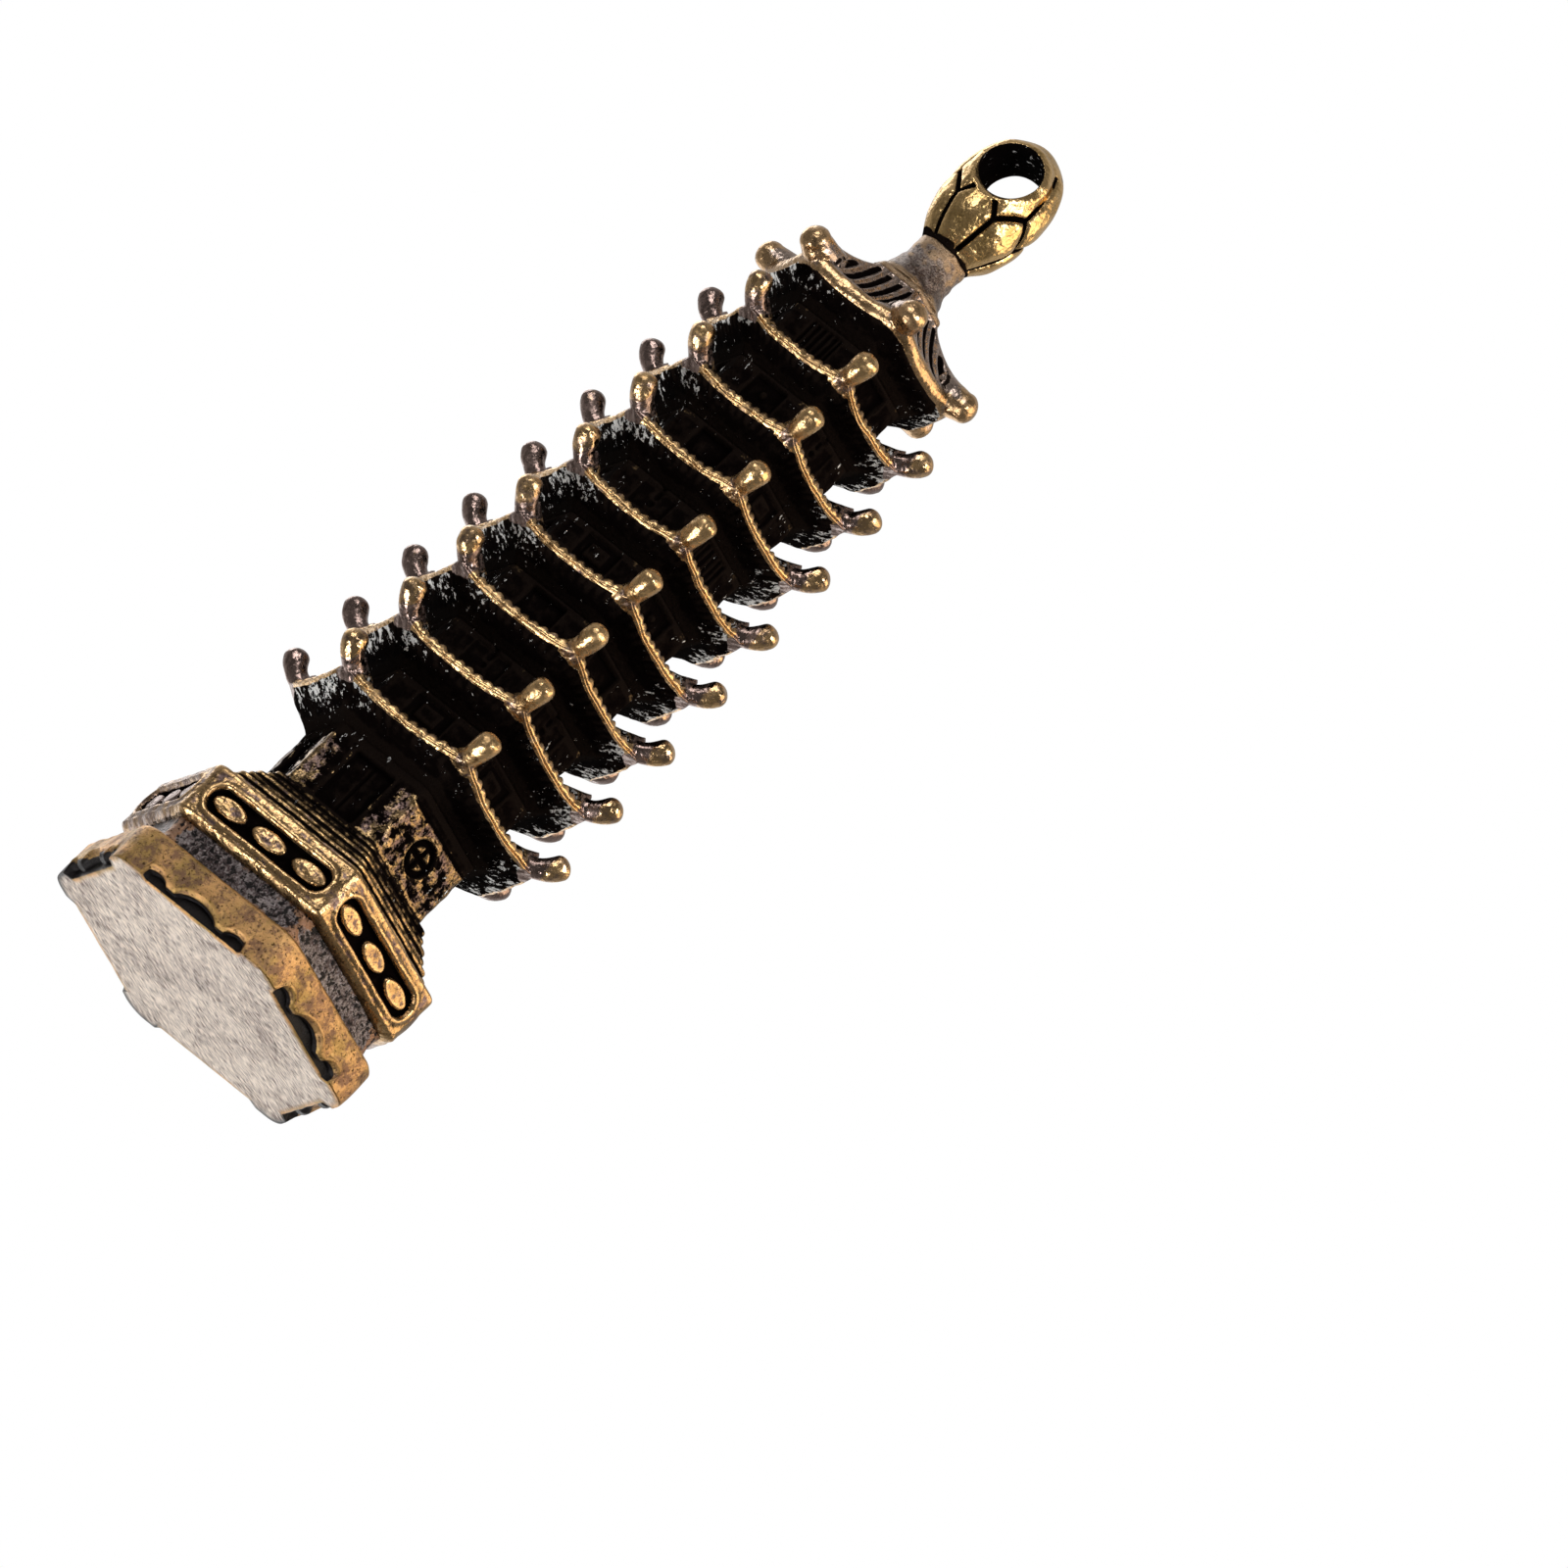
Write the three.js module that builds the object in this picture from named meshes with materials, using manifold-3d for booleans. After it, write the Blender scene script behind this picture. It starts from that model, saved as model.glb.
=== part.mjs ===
// A nine-storey hexagonal pagoda charm, cast in brass, with a hanging loop through its finial.
// Units are millimetres. The charm stands on z = 0 with +Z up, and its front face looks along -Y.
// Its members are stacked on one axis and meet face to face, as the levels of the casting do.

import * as THREE from 'three';
import loadManifold from 'manifold-3d';

const wasm = await loadManifold();
wasm.setup();
const { Manifold, Mesh: ManifoldMesh } = wasm;

// ---------------------------------------------------------------- driving dimensions

const SIDES = 6;
const HALF_SIDE_ANGLE = Math.PI / SIDES;
const FRONT_SIDE_AZIMUTH = -90;
const PLUG_SEGMENTS = 10;
const ROD_SEGMENTS = 6;
const BALL_LATITUDES = [-30, 15, 60];
const ROUND_SEGMENTS = 24;

const TIERS = 9;
const TIER_PITCH = 3.74;
const TIP_RADIUS_FIRST = 8.1;
const TIP_RADIUS_DROP = 0.23;

const foot = {
  corner: 8.85,
  fillet: 1.3,
  height: 2.25,
  bevel: 0.25,
  toe: 0.12,
  apronLength: 6.1,
  apronDepth: 0.42,
  apronGap: 0.24,
  endLobe: { at: 2.43, halfLength: 0.62, rise: 0.55 },
  midLobe: { at: 0, halfLength: 1.15, rise: 0.7 },
};

const waist = { corner: 7.95, fillet: 0.7, height: 1.45, draft: 0.1 };

const body = {
  corner: 8.4,
  fillet: 0.6,
  height: 3.05,
  bevel: 0.22,
  underLip: 0.4,
  panelLength: 7.12,
  panelHeight: 1.44,
  panelDepth: 0.42,
  beads: 3,
  beadPitch: 2.4,
  beadLength: 2.12,
  beadHeight: 1.0,
  beadSink: 0.1,
  beadRoot: 0.2,
};

const crown = { steps: 3, firstCorner: 7.55, cornerDrop: 0.72, fillet: 0.5, stepHeight: 0.75, bevel: 0.12 };

const storey = {
  wallCorner: 5.2,
  fillet: 0.4,
  firstHeight: 3.8,
  doorWidth: 2.3,
  doorSill: 0.3,
  doorHeight: 3.0,
  doorDepth: 0.35,
  coinRadius: 0.9,
  coinDepth: 0.25,
  coinBoss: 0.38,
  coinRise: 1.7,
  windowWidth: 2.1,
  windowDepths: [0.45, 0.2, 0.45, 0.3],
  sill: 0.22,
};

const eave = {
  height: 1.95,
  lipCorner: 7.5,
  lipRise: 1.0,
  lipThickness: 0.35,
  cornerLift: 0.42,
  tileRise: 0.1,
  ledge: 0.3,
  ledgeHeight: 0.15,
  tipRise: 2.61,
  rodReach: 1.1,
  rodRoot: 0.53,
  rodBall: 0.64,
};

const roof = {
  height: 4.5,
  tipCorner: 6.05,
  tipRise: 2.2,
  lipCorner: 5.75,
  lipRise: 1.1,
  lipThickness: 0.6,
  cornerLift: 0.45,
  hipLift: 1.1,
  topCorner: 2.35,
  tipReach: 1.4,
  tipRoot: 0.9,
  tipBall: 0.8,
};

const collar = { corner: 2.35, height: 0.35 };
const neck = { footRadius: 1.95, waistRadius: 1.25, topRadius: 1.32 };
const bud = {
  seatZ: 50.1,
  seatRadius: 1.32,
  widestRadius: 2.5,
  widestAt: 0.46,
  height: 7.15,
  flattening: 0.16,
  holeRadius: 1.5,
  holeBelowTop: 2.4,
};

// ---------------------------------------------------------------- levels worked out from them

const WAIST_Z = foot.height;
const BODY_Z = WAIST_Z + waist.height;
const CROWN_Z = BODY_Z + body.height;
const STOREY_Z = CROWN_Z + crown.steps * crown.stepHeight;
const FIRST_EAVE_Z = STOREY_Z + storey.firstHeight;
const ROOF_Z = FIRST_EAVE_Z + (TIERS - 1) * TIER_PITCH;
const COLLAR_Z = ROOF_Z + roof.height;
const NECK_Z = COLLAR_Z + collar.height;
const TOP_Z = bud.seatZ + bud.height;

const tipRadius = (tier) => TIP_RADIUS_FIRST - TIP_RADIUS_DROP * (tier - 1);
const taper = (tier) => tipRadius(tier) / TIP_RADIUS_FIRST;
const eaveZ = (tier) => FIRST_EAVE_Z + (tier - 1) * TIER_PITCH;

// ---------------------------------------------------------------- finishes

const FINISHES = {
  antique_brass: { color: 0x4a3620, roughness: 0.42, metalness: 0.9 },
  worn_brass: { color: 0xa98250, roughness: 0.36, metalness: 0.95 },
  speckled_patina: { color: 0x5c4a4c, roughness: 0.6, metalness: 0.7 },
  matte_patina: { color: 0x7c6858, roughness: 0.55, metalness: 0.8 },
};

// ---------------------------------------------------------------- solids from rings

// Closes a stack of equal-length rings, bottom to top, each anticlockwise seen from above.
// The caps are fans round a middle point, and the top one may be given to make a pole.
function ringSolid(rings, topPole = middle(rings.at(-1))) {
  const count = rings[0].length;
  const points = rings.flat();
  const triangles = [];
  for (let level = 0; level + 1 < rings.length; level++) {
    for (let i = 0; i < count; i++) {
      const next = (i + 1) % count;
      const low = level * count;
      const high = low + count;
      triangles.push([low + i, low + next, high + next], [low + i, high + next, high + i]);
    }
  }
  const bottom = points.push(middle(rings[0])) - 1;
  const top = points.push(topPole) - 1;
  const last = (rings.length - 1) * count;
  for (let i = 0; i < count; i++) {
    const next = (i + 1) % count;
    triangles.push([bottom, next, i], [top, last + i, last + next]);
  }
  return new Manifold(new ManifoldMesh({
    numProp: 3,
    vertProperties: new Float32Array(points.flat()),
    triVerts: new Uint32Array(triangles.flat()),
  }));
}

function middle(ring) {
  const sum = ring.reduce((total, point) => total.map((value, axis) => value + point[axis]), [0, 0, 0]);
  return sum.map((value) => value / ring.length);
}

const polar = (radius, angle, z) => [radius * Math.cos(angle), radius * Math.sin(angle), z];

// A hexagon with its corners on azimuths 0, 60, ... degrees, each rounded by an arc.
function roundedHexRing(corner, fillet, z, arcSteps = 3) {
  const ring = [];
  for (let side = 0; side < SIDES; side++) {
    const azimuth = side * 2 * HALF_SIDE_ANGLE;
    const [cx, cy] = polar(corner - fillet / Math.cos(HALF_SIDE_ANGLE), azimuth, z);
    for (let i = 0; i <= arcSteps; i++) {
      const [dx, dy] = polar(fillet, azimuth - HALF_SIDE_ANGLE + (2 * HALF_SIDE_ANGLE * i) / arcSteps, 0);
      ring.push([cx + dx, cy + dy, z]);
    }
  }
  return ring;
}

// A hexagon whose sides sag between lifted corners, for eave lips and tile slopes.
function liftedHexRing(corner, z, cornerLift, sideSteps = 4) {
  const ring = [];
  for (let side = 0; side < SIDES; side++) {
    const from = polar(corner, side * 2 * HALF_SIDE_ANGLE, z);
    const to = polar(corner, (side + 1) * 2 * HALF_SIDE_ANGLE, z);
    for (let i = 0; i < sideSteps; i++) {
      const t = i / sideSteps;
      const towardsCorner = Math.abs(2 * t - 1);
      const rise = cornerLift * towardsCorner ** 2.5;
      ring.push([from[0] + (to[0] - from[0]) * t, from[1] + (to[1] - from[1]) * t, z + rise]);
    }
  }
  return ring;
}

// A prism on a rounded hexagon, given as [corner, z] levels.
function hexPrism(levels, fillet) {
  return ringSolid(levels.map(([corner, z]) => roundedHexRing(corner, fillet, z)));
}

// A round-ended rod in the vertical plane of azimuth 0, along a bend of [x, z, radius] stations.
function bentRod(stations) {
  const rings = stations.map(([x, z, radius], i) => {
    const before = stations[Math.max(i - 1, 0)];
    const after = stations[Math.min(i + 1, stations.length - 1)];
    const heading = Math.atan2(after[1] - before[1], after[0] - before[0]);
    const ring = [];
    for (let k = 0; k < ROD_SEGMENTS; k++) {
      const angle = (2 * Math.PI * k) / ROD_SEGMENTS;
      const across = -radius * Math.sin(angle);
      ring.push([x + across * Math.sin(heading), radius * Math.cos(angle), z - across * Math.cos(heading)]);
    }
    return ring;
  });
  return ringSolid(rings);
}

// The stations of a rod that runs out from a root, curls up and ends in a ball.
function curledRod(root, tip, rootRadius, ballRadius) {
  const [rootX, rootZ] = root;
  const [tipX, tipZ] = tip;
  const kneeX = rootX + 0.75 * (tipX - rootX);
  const kneeZ = rootZ + 0.25 * (tipZ - rootZ);
  const stations = [[rootX, rootZ, rootRadius], [kneeX, kneeZ, rootRadius]];
  const heading = Math.atan2(tipZ - kneeZ, tipX - kneeX);
  for (const latitude of BALL_LATITUDES) {
    const angle = THREE.MathUtils.degToRad(latitude);
    const along = ballRadius * Math.sin(angle);
    const radius = ballRadius * Math.cos(angle);
    stations.push([tipX + along * Math.cos(heading), tipZ + along * Math.sin(heading), radius]);
  }
  return stations;
}

const aboutAxis = (solid, degrees) => solid.rotate([0, 0, degrees]);

// Repeats a solid made on azimuth 0, on the azimuths of the corners or of the sides.
const onAzimuths = (solid, azimuths) => azimuths.map((azimuth) => aboutAxis(solid, azimuth));
const ALL_CORNERS = Array.from({ length: SIDES }, (_, i) => i * 60);
const ALL_SIDES = ALL_CORNERS.map((azimuth) => azimuth + FRONT_SIDE_AZIMUTH);
const sideDistance = (corner) => corner * Math.cos(HALF_SIDE_ANGLE);

// A block that is sunk a depth into the side plane x = face and stands proud of it.
function sideBlock(face, depth, width, low, high, proud = 1) {
  return Manifold.cube([depth + proud, width, high - low]).translate([face - depth, -width / 2, low]);
}

// The same for an oval plug, a stretched cylinder whose axis is along X.
function sidePlug(face, depth, along, z, halfWidth, halfHeight, proud = 1) {
  return Manifold.cylinder(depth + proud, 1, 1, PLUG_SEGMENTS)
    .rotate([0, 90, 0])
    .scale([1, halfWidth, halfHeight])
    .translate([face - depth, along, z]);
}

// ---------------------------------------------------------------- base members

function footSlab() {
  const top = foot.height;
  let slab = hexPrism([
    [foot.corner - foot.toe, 0],
    [foot.corner, foot.toe],
    [foot.corner, top - foot.bevel],
    [foot.corner - foot.bevel * 2, top],
  ], foot.fillet);
  const face = sideDistance(foot.corner);
  const lobe = ({ at, halfLength, rise }, way) =>
    sidePlug(face, foot.apronDepth, way * at, 0, halfLength, rise);
  const apron = Manifold.union([
    sideBlock(face, foot.apronDepth, foot.apronLength, -0.5, foot.apronGap),
    lobe(foot.endLobe, -1),
    lobe(foot.endLobe, 1),
    lobe(foot.midLobe, 1),
  ]);
  for (const cutter of onAzimuths(apron, ALL_SIDES)) {
    slab = slab.subtract(cutter);
  }
  return slab;
}

function plinthWaist() {
  return hexPrism([
    [waist.corner, WAIST_Z],
    [waist.corner - waist.draft, BODY_Z],
  ], waist.fillet);
}

function plinthBody() {
  let block = hexPrism([
    [body.corner - body.underLip, BODY_Z],
    [body.corner, BODY_Z + body.bevel],
    [body.corner, CROWN_Z - body.bevel],
    [body.corner - body.bevel, CROWN_Z],
  ], body.fillet);
  const face = sideDistance(body.corner);
  const panelZ = BODY_Z + body.height / 2;
  const halfPanel = body.panelHeight / 2;
  const straight = body.panelLength - body.panelHeight;
  const slot = Manifold.union([
    sideBlock(face, body.panelDepth, straight, panelZ - halfPanel, panelZ + halfPanel),
    sidePlug(face, body.panelDepth, -straight / 2, panelZ, halfPanel, halfPanel),
    sidePlug(face, body.panelDepth, straight / 2, panelZ, halfPanel, halfPanel),
  ]);
  const beadFace = face - body.beadSink;
  const beadDepth = body.panelDepth - body.beadSink + body.beadRoot;
  const beads = Array.from({ length: body.beads }, (_, i) => {
    const along = (i - (body.beads - 1) / 2) * body.beadPitch;
    return sidePlug(beadFace, beadDepth, along, panelZ, body.beadLength / 2, body.beadHeight / 2, 0);
  });
  for (const azimuth of ALL_SIDES) {
    block = block.subtract(aboutAxis(slot, azimuth));
    block = block.add(aboutAxis(Manifold.union(beads), azimuth));
  }
  return block;
}

function crownStep(index) {
  const corner = crown.firstCorner - crown.cornerDrop * index;
  const low = CROWN_Z + crown.stepHeight * index;
  const high = low + crown.stepHeight;
  return hexPrism([
    [corner - crown.bevel, low],
    [corner, low + crown.bevel],
    [corner, high - crown.bevel],
    [corner - crown.bevel, high],
  ], crown.fillet);
}

// ---------------------------------------------------------------- storeys

// The first storey: a wide door on each face but two, which carry a round coin instead.
function firstStorey() {
  const high = eaveZ(1);
  const face = sideDistance(storey.wallCorner);
  let wall = hexPrism([[storey.wallCorner, STOREY_Z], [storey.wallCorner, high]], storey.fillet);
  const sillZ = STOREY_Z + storey.doorSill;
  const door = sideBlock(face, storey.doorDepth, storey.doorWidth, sillZ, sillZ + storey.doorHeight);
  const coinZ = STOREY_Z + storey.coinRise;
  const ring = sidePlug(face, storey.coinDepth, 0, coinZ, storey.coinRadius, storey.coinRadius);
  const boss = sidePlug(face, storey.coinDepth, 0, coinZ, storey.coinBoss, storey.coinBoss);
  const coin = ring.subtract(boss);
  const coinSides = [FRONT_SIDE_AZIMUTH + 60, FRONT_SIDE_AZIMUTH + 240];
  for (const azimuth of ALL_SIDES) {
    wall = wall.subtract(aboutAxis(coinSides.includes(azimuth) ? coin : door, azimuth));
  }
  return wall;
}

// An upper storey: a short wall with one window recess in each face.
function upperStorey(tier) {
  const scale = taper(tier);
  const corner = storey.wallCorner * scale;
  const low = eaveZ(tier - 1) + eave.height;
  const high = eaveZ(tier);
  const face = sideDistance(corner);
  let wall = hexPrism([[corner, low], [corner, high]], storey.fillet);
  const depth = storey.windowDepths[tier % storey.windowDepths.length];
  const opening = sideBlock(face, depth, storey.windowWidth * scale, low + storey.sill, high - storey.sill);
  for (const cutter of onAzimuths(opening, ALL_SIDES)) {
    wall = wall.subtract(cutter);
  }
  return wall;
}

// ---------------------------------------------------------------- eaves and roof

// An eave: a cove that flares from the wall to a thin lip, a tiled slope back in to the foot of
// the next storey, and a curled rod with a ball end at each corner.
function eaveMember(tier) {
  const scale = taper(tier);
  const low = eaveZ(tier);
  const wall = storey.wallCorner * scale;
  const nextWall = storey.wallCorner * taper(tier + 1);
  const lip = eave.lipCorner * scale;
  const flare = lip - wall;
  const lipZ = low + eave.lipRise;
  const lipTop = lipZ + eave.lipThickness;
  const ledge = nextWall + eave.ledge;
  const high = low + eave.height;
  const rings = [
    liftedHexRing(wall, low, 0),
    liftedHexRing(wall + flare * 0.35, low + eave.lipRise * 0.45, eave.cornerLift * 0.25),
    liftedHexRing(wall + flare * 0.7, low + eave.lipRise * 0.8, eave.cornerLift * 0.6),
    liftedHexRing(lip, lipZ, eave.cornerLift),
    liftedHexRing(lip, lipTop, eave.cornerLift),
    liftedHexRing(ledge + (lip - ledge) * 0.45, lipTop + eave.tileRise, eave.cornerLift * 0.4),
    liftedHexRing(ledge, high - eave.ledgeHeight, 0),
    liftedHexRing(ledge, high, 0),
  ];
  const rodZ = lipZ + eave.cornerLift;
  const rod = bentRod(curledRod(
    [lip - eave.rodReach, rodZ],
    [tipRadius(tier), low + eave.tipRise],
    eave.rodRoot,
    eave.rodBall,
  ));
  return Manifold.union([ringSolid(rings), ...onAzimuths(rod, ALL_CORNERS)]);
}

// The top roof: the same cove and lip, then a steep concave slope up to the collar.
function topRoof() {
  const wall = storey.wallCorner * taper(TIERS);
  const lipZ = ROOF_Z + roof.lipRise;
  const lipTop = lipZ + roof.lipThickness;
  const flare = roof.lipCorner - wall;
  const rings = [
    liftedHexRing(wall, ROOF_Z, 0),
    liftedHexRing(wall + flare * 0.4, ROOF_Z + roof.lipRise * 0.45, roof.cornerLift * 0.2),
    liftedHexRing(roof.lipCorner, lipZ, roof.cornerLift),
    liftedHexRing(roof.lipCorner, lipTop, roof.cornerLift),
  ];
  const slopeShares = [0.2, 0.45, 0.75, 1];
  for (const share of slopeShares) {
    const corner = roof.topCorner + (roof.lipCorner - roof.topCorner) * (1 - share) ** 1.2;
    const z = lipTop + (COLLAR_Z - lipTop) * share ** 1.25;
    rings.push(liftedHexRing(corner, z, roof.hipLift * (1 - share)));
  }
  const rod = bentRod(curledRod(
    [roof.lipCorner - roof.tipReach, lipTop + roof.cornerLift],
    [roof.tipCorner, ROOF_Z + roof.tipRise],
    roof.tipRoot,
    roof.tipBall,
  ));
  return Manifold.union([ringSolid(rings), ...onAzimuths(rod, ALL_CORNERS)]);
}

// ---------------------------------------------------------------- spire

function neckCollar() {
  return hexPrism([[collar.corner, COLLAR_Z], [collar.corner - 0.1, NECK_Z]], 0.3);
}

function roundRing(radiusX, radiusY, z) {
  return Array.from({ length: ROUND_SEGMENTS }, (_, i) => {
    const angle = (2 * Math.PI * i) / ROUND_SEGMENTS;
    return [radiusX * Math.cos(angle), radiusY * Math.sin(angle), z];
  });
}

// The neck: a concave spindle from the collar to the seat of the bud.
function spireNeck() {
  const levels = 8;
  const rings = [];
  for (let i = 0; i <= levels; i++) {
    const share = i / levels;
    const fromFoot = (neck.footRadius - neck.waistRadius) * (1 - share) ** 2.6;
    const fromTop = (neck.topRadius - neck.waistRadius) * share ** 3;
    const radius = neck.waistRadius + fromFoot + fromTop;
    rings.push(roundRing(radius, radius, NECK_Z + (bud.seatZ - NECK_Z) * share));
  }
  return ringSolid(rings);
}

// The bud's outline: a blunt dome above its widest level and a slimmer curve below it.
function budRadius(share) {
  if (share < bud.widestAt) {
    const down = 1 - share / bud.widestAt;
    return bud.seatRadius + (bud.widestRadius - bud.seatRadius) * (1 - down ** 2.1);
  }
  const up = (share - bud.widestAt) / (1 - bud.widestAt);
  return bud.widestRadius * Math.sqrt(1 - up ** 2.8);
}

// The lotus bud, pierced along Y by the round hole that a ring or a cord goes through.
function lotusBud() {
  const shares = [0, 0.03, 0.09, 0.18, 0.3, 0.46, 0.6, 0.72, 0.82, 0.9, 0.955, 0.988];
  const rings = shares.map((share) => {
    const radius = budRadius(share);
    return roundRing(radius, radius * (1 - bud.flattening * share), bud.seatZ + bud.height * share);
  });
  const solid = ringSolid(rings, [0, 0, TOP_Z]);
  const hole = Manifold.cylinder(12, bud.holeRadius, bud.holeRadius, ROUND_SEGMENTS, true)
    .rotate([90, 0, 0])
    .translate([0, 0, TOP_Z - bud.holeBelowTop]);
  return solid.subtract(hole);
}

// ---------------------------------------------------------------- the charm

function toMesh(name, finish, solid) {
  const { vertProperties, triVerts, numProp } = solid.getMesh();
  const positions = new Float32Array(triVerts.length * 3);
  triVerts.forEach((vertex, i) => {
    for (let axis = 0; axis < 3; axis++) {
      positions[i * 3 + axis] = vertProperties[vertex * numProp + axis];
    }
  });
  const geometry = new THREE.BufferGeometry();
  geometry.setAttribute('position', new THREE.BufferAttribute(positions, 3));
  geometry.computeVertexNormals();
  const mesh = new THREE.Mesh(geometry, new THREE.MeshStandardMaterial(FINISHES[finish]));
  mesh.name = name;
  return mesh;
}

const charm = new THREE.Group();

charm.add(
  toMesh('foot_slab', 'worn_brass', footSlab()),
  toMesh('plinth_waist', 'speckled_patina', plinthWaist()),
  toMesh('plinth_body', 'worn_brass', plinthBody()),
);
for (let index = 0; index < crown.steps; index++) {
  charm.add(toMesh(`crown_step_${index + 1}`, 'antique_brass', crownStep(index)));
}
charm.add(toMesh('storey_1', 'antique_brass', firstStorey()));
for (let tier = 2; tier <= TIERS; tier++) {
  charm.add(toMesh(`storey_${tier}`, 'antique_brass', upperStorey(tier)));
}
for (let tier = 1; tier < TIERS; tier++) {
  charm.add(toMesh(`eave_${tier}`, 'antique_brass', eaveMember(tier)));
}
charm.add(
  toMesh('top_roof', 'antique_brass', topRoof()),
  toMesh('neck_collar', 'matte_patina', neckCollar()),
  toMesh('spire_neck', 'matte_patina', spireNeck()),
  toMesh('lotus_bud_loop', 'worn_brass', lotusBud()),
);

export default charm;
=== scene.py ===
"""Looks of a nine-storey hexagonal pagoda charm, cast in brass with an antique finish.

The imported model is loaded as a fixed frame. Each member of the casting is then rebuilt as a finely
divided closed surface with its relief, and is given a finish whose wear follows that relief.
Lengths in the classes are millimetres; meshes are written in metres.
"""

import logging
import math
from abc import ABC, abstractmethod
from dataclasses import dataclass, field
from enum import Enum
from typing import Any, Mapping, Sequence

import bpy
import numpy as np
from mathutils import Matrix, Vector


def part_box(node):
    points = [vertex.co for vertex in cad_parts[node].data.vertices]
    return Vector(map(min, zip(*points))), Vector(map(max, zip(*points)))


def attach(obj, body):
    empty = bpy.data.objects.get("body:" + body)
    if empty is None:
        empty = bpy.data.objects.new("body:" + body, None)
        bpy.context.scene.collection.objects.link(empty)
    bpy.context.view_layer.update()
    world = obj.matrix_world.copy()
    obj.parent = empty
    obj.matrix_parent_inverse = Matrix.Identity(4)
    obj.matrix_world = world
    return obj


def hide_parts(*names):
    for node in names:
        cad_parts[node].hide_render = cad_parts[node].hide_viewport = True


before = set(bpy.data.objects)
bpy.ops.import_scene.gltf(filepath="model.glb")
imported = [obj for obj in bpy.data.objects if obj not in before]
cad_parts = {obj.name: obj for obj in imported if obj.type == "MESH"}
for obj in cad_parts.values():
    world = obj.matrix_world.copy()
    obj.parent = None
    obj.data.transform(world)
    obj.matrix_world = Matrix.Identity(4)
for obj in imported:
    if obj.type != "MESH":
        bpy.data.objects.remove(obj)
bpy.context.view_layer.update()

MM = 0.001
SIDES = 6
SIDE_ANGLE = 2 * math.pi / SIDES
FRONT_NORMAL = -math.pi / 2
COS_HALF_SIDE = math.cos(SIDE_ANGLE / 2)
TAN_HALF_SIDE = math.tan(SIDE_ANGLE / 2)

LOG = logging.getLogger("charm")
Array = np.ndarray
Triple = tuple[float, float, float]
Colour = Triple


# ------------------------------------------------------------------ number helpers


def ease(low: float, high: float, value: Array) -> Array:
    """Rises smoothly from 0 to 1 as a value goes from low to high.

    Args:
        low: Where the result is still 0.
        high: Where the result has become 1. It may be below low, for a fall.
        value: The values to map.

    Returns:
        The eased values, of the same shape.
    """
    t = np.clip((np.asarray(value, float) - low) / (high - low), 0, 1)
    return t * t * (3 - 2 * t)


def bell(value: Array, width: float) -> Array:
    """A smooth bump of height 1 at 0, which dies away over the given width."""
    return np.exp(-((np.asarray(value, float) / width) ** 2))


def rounded_box(x: Array, z: Array, half_x: float, half_z: float, radius: float) -> Array:
    """Signed distance to a rectangle with rounded corners, negative inside.

    Args:
        x: Distance along the rectangle from its middle.
        z: Distance across it from its middle.
        half_x: Half its length.
        half_z: Half its height.
        radius: The radius of its corners.

    Returns:
        The signed distances.
    """
    qx = np.abs(x) - half_x + radius
    qz = np.abs(z) - half_z + radius
    outside = np.hypot(np.maximum(qx, 0), np.maximum(qz, 0))
    return outside + np.minimum(np.maximum(qx, qz), 0) - radius


def oval(x: Array, z: Array, half_x: float, half_z: float) -> Array:
    """Rough signed distance to an ellipse, negative inside."""
    reach = np.hypot(x / half_x, z / half_z)
    return (reach - 1) * min(half_x, half_z)


def node_levels(node: str) -> tuple[float, float]:
    """The lowest and highest level of a CAD node, in millimetres."""
    low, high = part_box(node)
    return low.z / MM, high.z / MM


def full_turn(count: int) -> Array:
    """Evenly spaced azimuths, all the way round."""
    return np.linspace(0, 2 * math.pi, count, endpoint=False)


def from_axis(points: Array) -> Array:
    """The distance of each point from the axis of the charm."""
    return np.hypot(points[:, 0], points[:, 1])


@dataclass(frozen=True)
class Wobble:
    """The slight unevenness of a cast surface, as a sum of smooth waves."""

    seed: int
    height: float = 0.02
    waves: int = 10
    shortest: float = 0.9
    longest: float = 3.0

    def at(self, points: Array) -> Array:
        """The height of the unevenness.

        Args:
            points: Points in millimetres, with x, y, z last.

        Returns:
            One signed height for each point.
        """
        rng = np.random.default_rng(self.seed)
        total = np.zeros(points.shape[:-1])
        for _ in range(self.waves):
            heading = rng.normal(size=3)
            heading /= np.linalg.norm(heading)
            length = rng.uniform(self.shortest, self.longest)
            phase = rng.uniform(0, 2 * math.pi)
            total += np.sin(points @ heading * (2 * math.pi / length) + phase)
        return total * self.height / math.sqrt(self.waves)

    def push(self, points: Array, size: float | Array, share: float | Array = 1.0) -> None:
        """Moves points in or out from the axis, in place.

        Args:
            points: Points in millimetres, with x, y, z last.
            size: The distance from the axis at which they move by the full height.
            share: How much of the unevenness each point takes.
        """
        points[..., :2] *= (1 + share * self.at(points) / size)[..., None]


# ------------------------------------------------------------------ closed surfaces


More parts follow.
